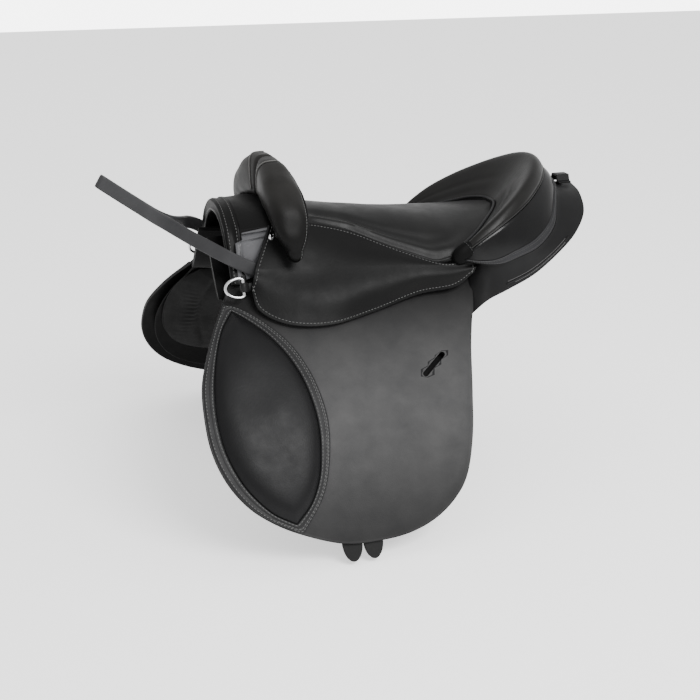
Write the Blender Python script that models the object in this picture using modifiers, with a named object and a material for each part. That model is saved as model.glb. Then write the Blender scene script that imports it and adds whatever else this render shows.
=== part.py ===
# Pony saddle, metres, +Z up, -X towards the horse's head, -Y the near (left) side.
# The origin is on the middle line, at the height of the horse's back under the gullet.
# Flat leathers are cut as patterns and bent round one barrel profile, layer on layer.

import math

import bmesh
import bpy
import numpy as np
from mathutils import Matrix, Vector

# Fits shared by all pieces
GAP = 0.0004
STITCH_GAP = 0.0006

# Leather and wall thicknesses
FLAP_T = 0.0035
SKIRT_T = 0.003
COVER_T = 0.0025
SWEAT_T = 0.0025
BILLET_T = 0.0040
WEB_T = 0.0008
BORDER_T = 0.0016
FOAM_T = 0.010
FOAM_GAP = 0.0010
HEAD_GAP = 0.0036
TREE_T = 0.006
HEAD_T = 0.0055
PLATE_T = 0.003
LINING_T = 0.002

# The barrel profile: distance down the side, and lean from upright in degrees
BARREL_START = (0.090, 0.010)
BARREL_DOWN = (-0.12, -0.03, 0.03, 0.36)
BARREL_LEAN = (36, 40, 51, 20)
BEND_STEP = 0.022

# Layers under the flap, as distances outward from the barrel profile
FLAP_D = 0.0
BILLET_CLEAR = 0.0011
BILLET_D = FLAP_D - BILLET_CLEAR - BILLET_T
WEB_D = BILLET_D - GAP - WEB_T
SWEAT_D = WEB_D - GAP - SWEAT_T
PANEL_D = SWEAT_D - STITCH_GAP

# Seat and pommel: along x, half width, edge height and middle height
TOP_X = (-0.172, -0.157, -0.124, -0.100, -0.069, -0.022, 0.025, 0.078, 0.102, 0.118, 0.144, 0.172, 0.190)
TOP_W = (0.056, 0.060, 0.075, 0.060, 0.050, 0.052, 0.072, 0.095, 0.098, 0.088, 0.069, 0.040, 0.010)
TOP_EDGE = (0.085, 0.088, 0.094, 0.094, 0.089, 0.076, 0.057, 0.039, 0.045, 0.052, 0.064, 0.076, 0.082)
TOP_MID = (0.111, 0.112, 0.112, 0.110, 0.103, 0.095, 0.089, 0.085, 0.083, 0.0825, 0.082, 0.082, 0.083)
TOP_ROUND = 2.3
SEAT_FRONT = -0.104
SEAT_REAR = 0.189
COVER_FRONT = -0.1575
FACING_FRONT = -0.172
TREE_REAR = 0.178
TONGUE_FRONT = -0.120
TONGUE_W = 0.017
TREE_INSET = 0.015
WEBBING_W = 0.026
TREE_HOLE_X = (-0.060, 0.125)
TREE_HOLE_W = 0.40

# Pommel facing: half section below the cover's edge, as y and z
FACING_LOW = ((0.068, 0.066), (0.077, 0.047), (0.085, 0.030))
SIDE_FRONT_LOW = (-0.158, 0.0830, 0.031)
SIDE_REAR_LOW = (-0.128, 0.0765, 0.040)
SIDE_BULGE = 0.001

# Pommel blocks: middle line as y and z, radial half depth, half width along x
BLOCK_X = -0.107
BLOCK_LEAN = 0.10
BLOCK_PATH = ((0.0006, 0.1385), (0.032, 0.1350), (0.060, 0.1240), (0.0844, 0.1085), (0.0979, 0.087), (0.1030, 0.068))
BLOCK_DEEP = (0.0245, 0.0238, 0.0205, 0.0165, 0.0135, 0.0095)
BLOCK_WIDE = (0.0250, 0.0250, 0.0245, 0.0235, 0.0205, 0.0130)
BLOCK_ROUND = 0.009

# Skirt: the seam at the seat, the bend line, and the lower edge
BEND_FRONT = (-0.147, 0.0905, 0.0490)
BEND_REAR = (0.124, 0.1080, 0.0330)
SEAM_LINE = (
    (-0.126, 0.0770, 0.0950), (-0.100, 0.0620, 0.0940), (-0.069, 0.0515, 0.0885),
    (-0.022, 0.0535, 0.0755), (0.025, 0.0735, 0.0565), (0.078, 0.0965, 0.0385), (0.110, 0.1045, 0.0365),
)
SKIRT_LOW = (
    (-0.1545, 0.0990, 0.0280), (-0.149, 0.1130, 0.0040), (-0.117, 0.1290, -0.0110), (-0.067, 0.1330, -0.0150),
    (-0.010, 0.1225, -0.0080), (0.048, 0.1130, 0.0040), (0.096, 0.1130, 0.0090), (0.122, 0.1110, 0.0250),
)
SKIRT_BULGE = 0.004
SKIRT_SPLIT = 0.0008
SEAM_LAP = (0.0, 0.0032, 0.0004)

# Cantle: from the middle of the rear round to the front end of the near side
WELT_LINE = (
    (0.193, 0.000, 0.0835), (0.190, 0.018, 0.0830), (0.178, 0.038, 0.0790), (0.162, 0.0545, 0.0720),
    (0.144, 0.0715, 0.0640), (0.128, 0.0835, 0.0575), (0.113, 0.0925, 0.0515), (0.101, 0.1005, 0.0480),
)
CREST_LINE = (
    (0.236, 0.000, 0.1520), (0.231, 0.028, 0.1490), (0.216, 0.054, 0.1390), (0.194, 0.075, 0.1250),
    (0.170, 0.089, 0.1090), (0.147, 0.0975, 0.0915), (0.126, 0.1015, 0.0740), (0.107, 0.1035, 0.0560),
)
ROLL_SEAM = (
    (0.262, 0.000, 0.1260), (0.256, 0.025, 0.1240), (0.238, 0.052, 0.1160), (0.213, 0.076, 0.1040),
    (0.188, 0.094, 0.0930), (0.155, 0.1080, 0.0780), (0.127, 0.1110, 0.0620), (0.106, 0.1080, 0.0470),
)
WALL_LOW = (
    (0.275, 0.000, 0.1060), (0.268, 0.030, 0.1040), (0.256, 0.058, 0.0900), (0.240, 0.086, 0.0660),
    (0.213, 0.102, 0.0470), (0.182, 0.110, 0.0380), (0.150, 0.1135, 0.0320), (0.108, 0.1115, 0.0400),
)
REAR_LOW = (
    (0.308, 0.000, 0.1040), (0.306, 0.030, 0.0960), (0.297, 0.060, 0.0780), (0.275, 0.081, 0.0570),
    (0.245, 0.095, 0.0370), (0.208, 0.104, 0.0150), (0.168, 0.1120, 0.0010), (0.136, 0.1190, -0.0080),
)
ROLL_SWELL = 0.006
WALL_T = 0.004
BOARD_T = 0.005
BOARD_GAP = 0.0014
BAND_H = 0.22
REAR_T = 0.003
REAR_ROWS = 13

# Flap outline on the barrel, as x and distance down; the first and last are corners
FLAP_TOP = 0.003
FLAP_SHAPE = (
    (-0.189, FLAP_TOP), (-0.206, 0.037), (-0.220, 0.069), (-0.232, 0.104), (-0.236, 0.140), (-0.235, 0.177),
    (-0.226, 0.210), (-0.210, 0.238), (-0.188, 0.260), (-0.154, 0.281), (-0.104, 0.300), (-0.056, 0.303),
    (-0.020, 0.299), (0.012, 0.287), (0.038, 0.268), (0.056, 0.244), (0.072, 0.200), (0.084, 0.150),
    (0.096, 0.100), (0.108, 0.063), (0.117, 0.040), (0.1225, 0.020), (0.124, FLAP_TOP),
)
SLOT_ENDS = ((0.031, 0.122), (0.058, 0.100))
SLOT_WIDE = 0.0066
FLAP_TOP_SHAPE = ((-0.104, -0.040), (-0.104, -0.001), (0.120, -0.001), (0.108, -0.034), (-0.03, -0.044))

# Knee pad and its border
PAD_TIPS = ((-0.180, 0.014), (-0.154, 0.271))
PAD_FRONT = ((-0.197, 0.040), (-0.210, 0.074), (-0.219, 0.111), (-0.2225, 0.145), (-0.220, 0.179), (-0.211, 0.209),
             (-0.198, 0.233), (-0.178, 0.256))
PAD_REAR = ((-0.134, 0.251), (-0.121, 0.226), (-0.114, 0.198), (-0.1105, 0.168), (-0.112, 0.138), (-0.118, 0.107),
            (-0.129, 0.078), (-0.145, 0.051), (-0.164, 0.029))
PAD_MIDDLE = (-0.163, 0.145)
PAD_CROWN = 0.010
PAD_EDGE = 0.003
BORDER_REAR = ((-0.148, 0.283), (-0.120, 0.247), (-0.106, 0.212), (-0.098, 0.170), (-0.099, 0.135), (-0.107, 0.098),
               (-0.122, 0.063), (-0.145, 0.033), (-0.168, 0.012), (-0.183, 0.005))
BORDER_INSET = 0.0015
BORDER_GAP = 0.0012

# Sweat flap, lower panel and girth straps
SWEAT_SHAPE = (
    (-0.176, -0.030), (-0.190, 0.010), (-0.204, 0.050), (-0.216, 0.100), (-0.220, 0.145), (-0.214, 0.190),
    (-0.196, 0.228), (-0.165, 0.254), (-0.120, 0.270), (-0.050, 0.272), (0.002, 0.258), (0.034, 0.232),
    (0.052, 0.190), (0.066, 0.125), (0.088, 0.055), (0.100, 0.000), (0.096, -0.032), (-0.050, -0.046),
)
LOWER_PANEL_SHAPE = (
    (-0.176, -0.003), (-0.196, 0.022), (-0.208, 0.070), (-0.211, 0.120), (-0.204, 0.165), (-0.180, 0.203),
    (-0.130, 0.224), (-0.060, 0.222), (-0.005, 0.198), (0.028, 0.150), (0.050, 0.090), (0.078, 0.035),
    (0.088, -0.003),
)
LOWER_PANEL_MIDDLE = (-0.085, 0.095)
LOWER_PANEL_CROWN = 0.017
PANEL_EDGE = 0.004
BILLET_W = 0.0235
BILLET_MIDDLE = -0.08025
BILLET_BETWEEN = 0.001
BILLET_X = tuple(BILLET_MIDDLE + side * (BILLET_W + BILLET_BETWEEN) / 2 for side in (-1, 1))
BILLET_TOP = -0.030
BILLET_TIP = 0.322
BILLET_PIVOT = 0.0
WEB_X = (BILLET_X[0] - 0.0085, BILLET_X[1] + 0.0080)
WEB_DOWN = (-0.044, 0.030)

# Bearing panel under the tree
PANEL_FRONT = -0.188
PANEL_REAR = 0.296
PANEL_IN = 0.024
PANEL_OUT = 0.073
PANEL_DEEP = 0.026
REAR_LIFT = 0.028
PANEL_CLEAR = 0.0018

# Small metal and leather pieces
RING_WIRE = 0.0034
RING_BAR = ((-0.1635, 0.0955, 0.0405), (-0.1635, 0.1015, 0.0190))
RING_REACH = 0.0215
CHAPE_H = 0.011
CHAPE_T = 0.0022
CHAPE_TAIL = 0.0187
CHAPE_DROP = 0.0064
NAIL_R = 0.0042
NAIL_DOWN = 0.014
NAIL_BACK = 0.006
NAIL_LIFT = 0.0027
BAR_S = -0.027
BAR_X = (-0.088, -0.020)
BAR_H = 0.012
BAR_CLEAR = 0.0007
BAR_T = 0.0022
BAR_OPEN = 0.0066
BAR_FINGER = 0.0040
BAR_D = tuple(FLAP_D + FLAP_T + BAR_CLEAR + d for d in (0, BAR_T, BAR_T + BAR_OPEN, BAR_T + BAR_OPEN + BAR_FINGER))
CATCH_L = 0.017
CATCH_PIN = 0.004
STRAP_W = 0.016
STRAP_T = 0.004
STRAP_PIVOT = (-0.135, 0.0830, 0.0405)
STRAP_PATH = (
    (-0.126, 0.0830, 0.0350), (-0.135, 0.0830, 0.0405), (-0.1480, 0.0830, 0.0465), (-0.1640, 0.0830, 0.0550),
    (-0.1802, 0.0805, 0.0643), (-0.1942, 0.0670, 0.0714), (-0.2071, 0.0460, 0.0767), (-0.2202, 0.0250, 0.0830),
    (-0.2317, 0.0125, 0.0896), (-0.2453, 0.0058, 0.0982), (-0.2620, 0.0036, 0.1104), (-0.2843, 0.0032, 0.1270),
    (-0.3045, 0.0032, 0.1423), (-0.3058, 0.0028, 0.1433), (-0.3067, 0.0016, 0.1440), (-0.3070, 0.0000, 0.1442),
)
SCREW_R = 0.0028
LOOP_X = 0.292
LOOP_W = 0.014


def clear_scene():
    for obj in list(bpy.data.objects):
        bpy.data.objects.remove(obj, do_unlink=True)


def new_collection(name):
    coll = bpy.data.collections.new(name)
    bpy.context.scene.collection.children.link(coll)
    return coll


clear_scene()
PARTS = new_collection("pony_saddle")
TOOLS = new_collection("cutters")
MATERIALS = {}


def material(name, colour, roughness, metallic=0.0):
    mat = bpy.data.materials.new(name)
    mat.use_nodes = True
    shader = mat.node_tree.nodes["Principled BSDF"]
    shader.inputs["Base Color"].default_value = (*colour, 1.0)
    shader.inputs["Roughness"].default_value = roughness
    shader.inputs["Metallic"].default_value = metallic
    MATERIALS[name] = mat


material("smooth_leather", (0.020, 0.020, 0.021), 0.38)
material("flap_leather", (0.035, 0.035, 0.037), 0.45)
material("pad_leather", (0.040, 0.040, 0.042), 0.40)
material("wall_leather", (0.011, 0.011, 0.013), 0.35)
material("strap_leather", (0.075, 0.075, 0.080), 0.45)
material("panel_leather", (0.015, 0.015, 0.015), 0.60)
material("foam", (0.55, 0.52, 0.42), 0.95)
material("webbing", (0.42, 0.38, 0.30), 0.90)
material("tree_board", (0.30, 0.22, 0.13), 0.60)
material("steel", (0.45, 0.45, 0.46), 0.35, 1.0)
material("chrome", (0.80, 0.80, 0.82), 0.12, 1.0)


def finish(obj, mat, smooth=40):
    """Link the object, give it its material and shade it smooth below the angle."""
    if obj.name not in PARTS.objects:
        PARTS.objects.link(obj)
    obj.data.materials.clear()
    obj.data.materials.append(MATERIALS[mat])
    obj.data.shade_smooth()
    obj.data.set_sharp_from_angle(angle=math.radians(smooth))
    return obj


def object_from(bm, name, mat, smooth=40):
    """Close a bmesh into an object with its faces turned outward."""
    bmesh.ops.recalc_face_normals(bm, faces=bm.faces)
    if bm.calc_volume(signed=True) < 0:
        bmesh.ops.reverse_faces(bm, faces=bm.faces)
    mesh = bpy.data.meshes.new(name)
    bm.to_mesh(mesh)
    bm.free()
    return finish(bpy.data.objects.new(name, mesh), mat, smooth)


def spline(points, count):
    """A smooth open curve through the points, sampled evenly along its parameter."""
    pts = np.asarray(points, float)
    ends = np.vstack([2 * pts[0] - pts[1], pts, 2 * pts[-1] - pts[-2]])
    where = np.linspace(0, len(pts) - 1, count)
    i = np.minimum(where.astype(int), len(pts) - 2)
    f = (where - i)[:, None]
    a, b, c, d = ends[i], ends[i + 1], ends[i + 2], ends[i + 3]
    return 0.5 * (2 * b + (c - a) * f + (2 * a - 5 * b + 4 * c - d) * f**2 + (3 * b - a - 3 * c + d) * f**3)


def both_sides(points):
    """A line given from the middle out to one side, carried on across the middle."""
    pts = np.asarray(points, float)
    return np.vstack([(pts * (1, -1, 1))[:0:-1], pts])


def barrel_curve():
    """Walk down the barrel profile and sum its lean into a table of s, y, z and lean."""
    s = np.linspace(BARREL_DOWN[0], BARREL_DOWN[-1], 481)
    lean = np.radians(np.interp(s, BARREL_DOWN, BARREL_LEAN))
    step = s[1] - s[0]
    mean = (lean[1:] + lean[:-1]) / 2
    y = np.concatenate([[0], np.cumsum(np.sin(mean) * step)])
    z = -np.concatenate([[0], np.cumsum(np.cos(mean) * step)])
    y += BARREL_START[0] - np.interp(0, s, y)
    z += BARREL_START[1] - np.interp(0, s, z)
    return s, y, z, lean


BARREL = barrel_curve()


def on_barrel(x, s, d, side):
    """The point at x along the saddle, s down the barrel and d out from it. side is -1 near, 1 far."""
    lean = np.interp(s, BARREL[0], BARREL[3])
    y = np.interp(s, BARREL[0], BARREL[1]) + d * np.cos(lean)
    z = np.interp(s, BARREL[0], BARREL[2]) + d * np.sin(lean)
    return np.stack([x + 0 * y, side * y, z], -1)


def barrel_height(y, d):
    """The height of the layer at distance d where it is y from the middle."""
    pts = on_barrel(0.0, BARREL[0], d, 1)
    return np.interp(y, pts[:, 1], pts[:, 2])


def rounded(corners, per=3):
    """A closed outline: each inner run of points becomes a smooth curve between its end corners."""
    out = []
    for run in corners:
        pts = spline(run, per * (len(run) - 1) + 1)
        out.extend(pts[:-1])
    return np.array(out)


def pattern_mesh(outlines, thickness):
    """Cut a flat pattern from its outlines, the first the rim and the rest holes."""
    curve = bpy.data.curves.new("pattern", "CURVE")
    curve.dimensions = "2D"
    curve.fill_mode = "BOTH"
    curve.extrude = thickness / 2
    for outline in outlines:
        line = curve.splines.new("POLY")
        line.points.add(len(outline) - 1)
        for point, (x, s) in zip(line.points, outline):
            point.co = (x, s, 0, 1)
        line.use_cyclic_u = True
    obj = bpy.data.objects.new("pattern", curve)
    bpy.context.scene.collection.objects.link(obj)
    bpy.context.view_layer.update()
    mesh = bpy.data.meshes.new_from_object(obj.evaluated_get(bpy.context.evaluated_depsgraph_get()))
    bpy.data.objects.remove(obj, do_unlink=True)
    bm = bmesh.new()
    bm.from_mesh(mesh)
    bmesh.ops.remove_doubles(bm, verts=bm.verts, dist=1e-6)
    bmesh.ops.dissolve_limit(bm, angle_limit=math.radians(1), verts=bm.verts, edges=bm.edges)
    return bm


def bend(bm, d, thickness, side):
    """Score the flat pattern at even distances down, then bend it round the barrel."""
    down = [v.co.y for v in bm.verts]
    for level in np.arange(min(down) + BEND_STEP, max(down), BEND_STEP):
        geom = bm.verts[:] + bm.edges[:] + bm.faces[:]
        bmesh.ops.bisect_plane(bm, geom=geom, dist=1e-6, plane_co=(0, level, 0), plane_no=(0, 1, 0))
    for v in bm.verts:
        v.co = Vector(on_barrel(v.co.x, v.co.y, d + thickness / 2 + v.co.z, side))


def leather(name, outlines, d, thickness, side, mat):
    """A flat leather: pattern cut, bent round the barrel and laid at distance d."""
    bm = pattern_mesh(outlines, thickness)
    bend(bm, d, thickness, side)
    return object_from(bm, name, mat)


def grid_faces(bm, rows, columns, verts, closed=False):
    """Join a grid of verts into quads; closed wraps the columns round."""
    wrap = columns if closed else columns - 1
    for r in range(rows - 1):
        for c in range(wrap):
            n = (c + 1) % columns
            bm.faces.new((verts[r * columns + c], verts[r * columns + n],
                          verts[(r + 1) * columns + n], verts[(r + 1) * columns + c]))


def loft(sections, name, mat, smooth=50):
    """A closed solid through like rings of points, its ends capped."""
    sections = np.asarray(sections, float)
    rows, columns, _ = sections.shape
    bm = bmesh.new()
    verts = [bm.verts.new(p) for p in sections.reshape(-1, 3)]
    grid_faces(bm, rows, columns, verts, closed=True)
    bm.faces.new(verts[:columns])
    bm.faces.new(verts[-columns:])
    return object_from(bm, name, mat, smooth)


def shell(surface, thickness, name, mat, keep=None):
    """An open grid surface given its wall inward, on its underside, by Solidify."""
    surface = np.asarray(surface, float)
    rows, columns, _ = surface.shape
    bm = bmesh.new()
    verts = [bm.verts.new(p) for p in surface.reshape(-1, 3)]
    grid_faces(bm, rows, columns, verts)
    if keep is not None:
        gone = [f for f in bm.faces if not keep(f.calc_center_median())]
        bmesh.ops.delete(bm, geom=gone, context="FACES")
    mesh = bpy.data.meshes.new(name)
    bm.to_mesh(mesh)
    bm.free()
    obj = finish(bpy.data.objects.new(name, mesh), mat)
    wall = obj.modifiers.new("wall", "SOLIDIFY")
    wall.thickness = thickness
    wall.offset = -1
    wall.use_even_offset = True
    wall.thickness_clamp = 0
    return obj


def hang(name, point, pieces):
    """An empty on a joint's axis, with the pieces that turn about it."""
    empty = bpy.data.objects.new(name, None)
    empty.location = point
    empty.empty_display_size = 0.01
    PARTS.objects.link(empty)
    bpy.context.view_layer.update()
    for piece in pieces:
        piece.parent = empty
        piece.matrix_parent_inverse = empty.matrix_world.inverted()
    return empty


def padded(name, outline, middle, d, edge, crown, side, mat, out=1):
    """A cushion on the barrel: flat on one face, crowned on the other, drawn in to a thin edge."""
    rings = (1.0, 0.97, 0.86, 0.66, 0.36)
    outline = np.asarray(outline)
    middle = np.asarray(middle)
    bm = bmesh.new()

    def ring(scale, height):
        flat = middle + (outline - middle) * scale
        pts = on_barrel(flat[:, 0], flat[:, 1], d + out * height, side)
        return [bm.verts.new(p) for p in pts]

    tall = [edge * 0.6 + (crown - edge * 0.6) * (1 - r**2.6) ** 0.8 for r in rings]
    stack = [ring(r, h) for r, h in zip(rings, tall)]
    under = [ring(r, 0.0) for r in (1.0, 0.84, 0.64, 0.42, 0.20)]
    count = len(outline)
    for lower, upper in list(zip(stack, stack[1:])) + list(zip(under, under[1:])) + [(under[0], stack[0])]:
        for k in range(count):
            n = (k + 1) % count
            bm.faces.new((lower[k], lower[n], upper[n], upper[k]))
    for last, height in ((stack[-1], crown), (under[-1], 0.0)):
        tip = bm.verts.new(on_barrel(middle[0], middle[1], d + out * height, side))
        for k in range(count):
            bm.faces.new((last[k], last[(k + 1) % count], tip))
    return object_from(bm, name, mat, 55)


def top_point(x, v):
    """The seat and pommel surface at x, with v from -1 at the near edge to 1 at the far edge."""
    half = np.interp(x, TOP_X, TOP_W)
    edge = np.interp(x, TOP_X, TOP_EDGE)
    mid = np.interp(x, TOP_X, TOP_MID)
    z = edge + (mid - edge) * (1 - np.abs(v) ** TOP_ROUND)
    return np.stack([x + 0 * v, half * v, z], -1)


def sunk(x, v, drop):
    """The point at drop below the seat surface, measured square to it."""
    step = 1e-4
    along = top_point(x + step, v) - top_point(x - step, v)
    across = top_point(x, v + step) - top_point(x, v - step)
    up = np.cross(along, across)
    up /= np.linalg.norm(up, axis=-1)[..., None]
    return top_point(x, v) - up * np.asarray(drop)[..., None]


def top_grid(x_from, x_to, rows, columns, drop=0.0, inset=0.0):
    """A grid over the seat surface, drawn in from its edges by inset."""
    x, v = np.meshgrid(np.linspace(x_from, x_to, rows), np.linspace(-1, 1, columns), indexing="ij")
    half = np.interp(x, TOP_X, TOP_W)
    return turned(sunk(x, v * np.clip(1 - inset / half, 0.1, 1), drop + 0 * x))


def turned(surface):
    """Turn a grid over, so that its faces look the other way."""
    return surface[:, ::-1]


SIDES = (("left", -1), ("right", 1))


def make_seat():
    """Cover, foam, webbing and tree, one under the other, and the welt round the tongue."""
    under_foam = COVER_T + FOAM_GAP + FOAM_T
    shell(top_grid(SEAT_FRONT, SEAT_REAR, 18, 11), COVER_T, "seat_cover", "smooth_leather")
    foam = top_grid(SEAT_FRONT + 0.004, SEAT_REAR - 0.010, 14, 11, COVER_T + FOAM_GAP, 0.004)
    shell(foam, FOAM_T, "seat_foam", "foam")
    under_web = under_foam + 4 * GAP + WEB_T * 1.5
    under_head = SKIRT_T + HEAD_T + HEAD_GAP
    x, v = np.meshgrid(np.linspace(TONGUE_FRONT, TREE_REAR, 18), np.linspace(-1, 1, 11), indexing="ij")
    v = v * np.clip(1 - TREE_INSET / np.interp(x, TOP_X, TOP_W), 0.1, 1)
    depth = np.interp(x, (-0.114, SEAT_FRONT + 0.002), (under_head, under_web))
    tree = turned(sunk(x, v, depth))
    middle = [np.mean(TREE_HOLE_X), (TREE_HOLE_X[1] - TREE_HOLE_X[0]) / 2]

    def on_rails(point):
        half = np.interp(point.x, TOP_X, TOP_W) * TREE_HOLE_W
        slot = abs(point.x - middle[0]) < middle[1] and abs(point.y) < half
        beside_tongue = point.x < SEAT_FRONT - 0.002 and abs(point.y) > TONGUE_W
        return not slot and not beside_tongue

    shell(tree, TREE_T, "tree", "tree_board", on_rails)
    x, y = np.meshgrid(np.linspace(SEAT_FRONT + 0.010, TREE_REAR - 0.008, 14), (WEBBING_W / 2, 0, -WEBBING_W / 2),
                       indexing="ij")
    web = sunk(x, y / np.interp(x, TOP_X, TOP_W), under_foam + 2 * GAP + 0 * x)
    shell(web, WEB_T, "seat_webbing", "webbing")


def half_arch(x, drop):
    """The pommel's half section from the middle down to the facing's foot, drop inside it."""
    v = np.linspace(0, 1, 6)
    upper = top_point(x + 0 * v, v)[:, 1:]
    pts = np.vstack([upper, FACING_LOW])
    pts = spline(pts, 15)
    run = np.gradient(pts, axis=0)
    run /= np.linalg.norm(run, axis=1)[:, None]
    inward = np.stack([run[:, 1], -run[:, 0]], -1)
    inward[0] = (0, -1)
    pts = pts + inward * drop
    pts[0, 0] = 0
    return pts


def arch_grid(x_from, x_to, drop, rows, stop):
    """A grid over the arch, from the near foot over the top to the far foot."""
    grid = []
    for x in np.linspace(x_from, x_to, rows):
        half = half_arch(x_from, drop)[:stop]
        full = np.vstack([(half * (-1, 1))[:0:-1], half])
        grid.append(np.column_stack([np.full(len(full), x), full]))
    return turned(np.array(grid))


def make_head():
    """Pommel cover, facing, side patches, and the arch of tree, steel and lining inside."""
    shell(top_grid(COVER_FRONT, SEAT_FRONT - GAP * 1.5, 6, 13), COVER_T, "pommel_cover", "smooth_leather")
    facing = arch_grid(FACING_FRONT, COVER_FRONT - GAP * 1.5, 0.0, 3, 15)
    shell(facing, SKIRT_T, "pommel_facing", "smooth_leather")
    front = FACING_FRONT + 0.001
    for name, depth, wall, mat, rear, stop in (
        ("tree_head", SKIRT_T + GAP, HEAD_T, "tree_board", -0.1060, 13),
        ("head_plate", SKIRT_T + HEAD_T + 2 * GAP, PLATE_T, "steel", -0.1250, 13),
        ("gullet_lining", SKIRT_T + HEAD_T + PLATE_T + 3 * GAP, LINING_T, "panel_leather", -0.1250, 12),
    ):
        shell(arch_grid(front, rear, depth, 3, stop), wall, name, mat)
    edge_front = top_point(np.array(COVER_FRONT + 0.0015), np.array(1.0)) + (0, 0.0006, -0.0014)
    edge_rear = np.array(SEAM_LINE[0]) + (-0.0015, -0.0005, -0.0020)
    for label, side in SIDES:
        rows = []
        for t in np.linspace(0, 1, 5):
            high = edge_front + (edge_rear - edge_front) * t
            low = np.array(SIDE_FRONT_LOW) + (np.array(SIDE_REAR_LOW) - SIDE_FRONT_LOW) * t
            line = np.array([high + (low - high) * q + (0, SIDE_BULGE * math.sin(math.pi * q), 0)
                             for q in np.linspace(0, 1, 5)])
            rows.append(line * (1, side, 1))
        grid = np.array(rows) if side < 0 else turned(np.array(rows))
        shell(grid, COVER_T, f"pommel_side_{label}", "pad_leather")


def make_blocks():
    """Two stuffed rolls that meet over the pommel and taper down each side."""
    count = 12
    centre = spline(BLOCK_PATH, 10)
    deep = spline(np.array(BLOCK_DEEP)[:, None], 10)[:, 0]
    wide = spline(np.array(BLOCK_WIDE)[:, None], 10)[:, 0]
    run = np.gradient(centre, axis=0)
    run /= np.linalg.norm(run, axis=1)[:, None]
    run[0] = (1, 0)
    out = np.stack([-run[:, 1], run[:, 0]], -1)
    angle = np.linspace(0, 2 * math.pi, count, endpoint=False)
    for label, side in SIDES:
        sections = []
        for k, (c, o) in enumerate(zip(centre, out)):
            ends = [(0.72, 0.0), (1.0, 0.004)] if k == 0 else [(1.0, 0.0)]
            if k == len(centre) - 1:
                ends = [(1.0, 0.0), (0.72, BLOCK_ROUND * 0.7), (0.30, BLOCK_ROUND)]
            for scale, along in ends:
                mid = c + run[k] * along
                bulge = np.sign(np.cos(angle)) * np.abs(np.cos(angle)) ** 0.8
                x = BLOCK_X + BLOCK_LEAN * (mid[1] - 0.1) * -1 + wide[k] * scale * bulge
                r = deep[k] * scale * np.sin(angle)
                sections.append(np.stack([x, side * (mid[0] + o[0] * r), mid[1] + o[1] * r], -1))
        loft(sections, f"pommel_block_{label}", "pad_leather")


def bend_line(t):
    """A point on the line where the skirt and the flap bend."""
    return np.array(BEND_FRONT) + (np.array(BEND_REAR) - BEND_FRONT) * t


def make_skirts():
    """Upper skirt, sewn to the seat, and the lower skirt that lifts at the bend line."""
    count = 15
    seam = spline(SEAM_LINE, count) + SEAM_LAP
    low = spline(SKIRT_LOW, count)
    line = np.array([bend_line(t) for t in np.linspace(0, 1, count)])
    for label, side in SIDES:
        for name, start, stop, bulge, columns in (("skirt_top", seam, line, 0.0, 4),
                                                  ("skirt", line, low, SKIRT_BULGE, 6)):
            grid = np.array([
                [a + (b - a) * q + (0, bulge * math.sin(math.pi * q), bulge * 0.6 * math.sin(math.pi * q))
                 for q in np.linspace(0, 1, columns)] for a, b in zip(start, stop)
            ])
            edge = -1 if name == "skirt_top" else 0
            back = grid[:, -2] - grid[:, -1] if edge else grid[:, 1] - grid[:, 0]
            grid[:, edge] += back / np.linalg.norm(back, axis=1)[:, None] * SKIRT_SPLIT
            grid = grid * (1, side, 1)
            grid = grid if side < 0 else turned(grid)
            obj = shell(grid, SKIRT_T, f"{name}_{label}", "smooth_leather")
        hang(f"skirt_bend_{label}", bend_line(0.5) * (1, side, 1), [obj])


def side_curves(lines, count):
    """Each cantle line sampled right round from the far end to the near end."""
    return [spline(both_sides(line), count) for line in lines]


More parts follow.
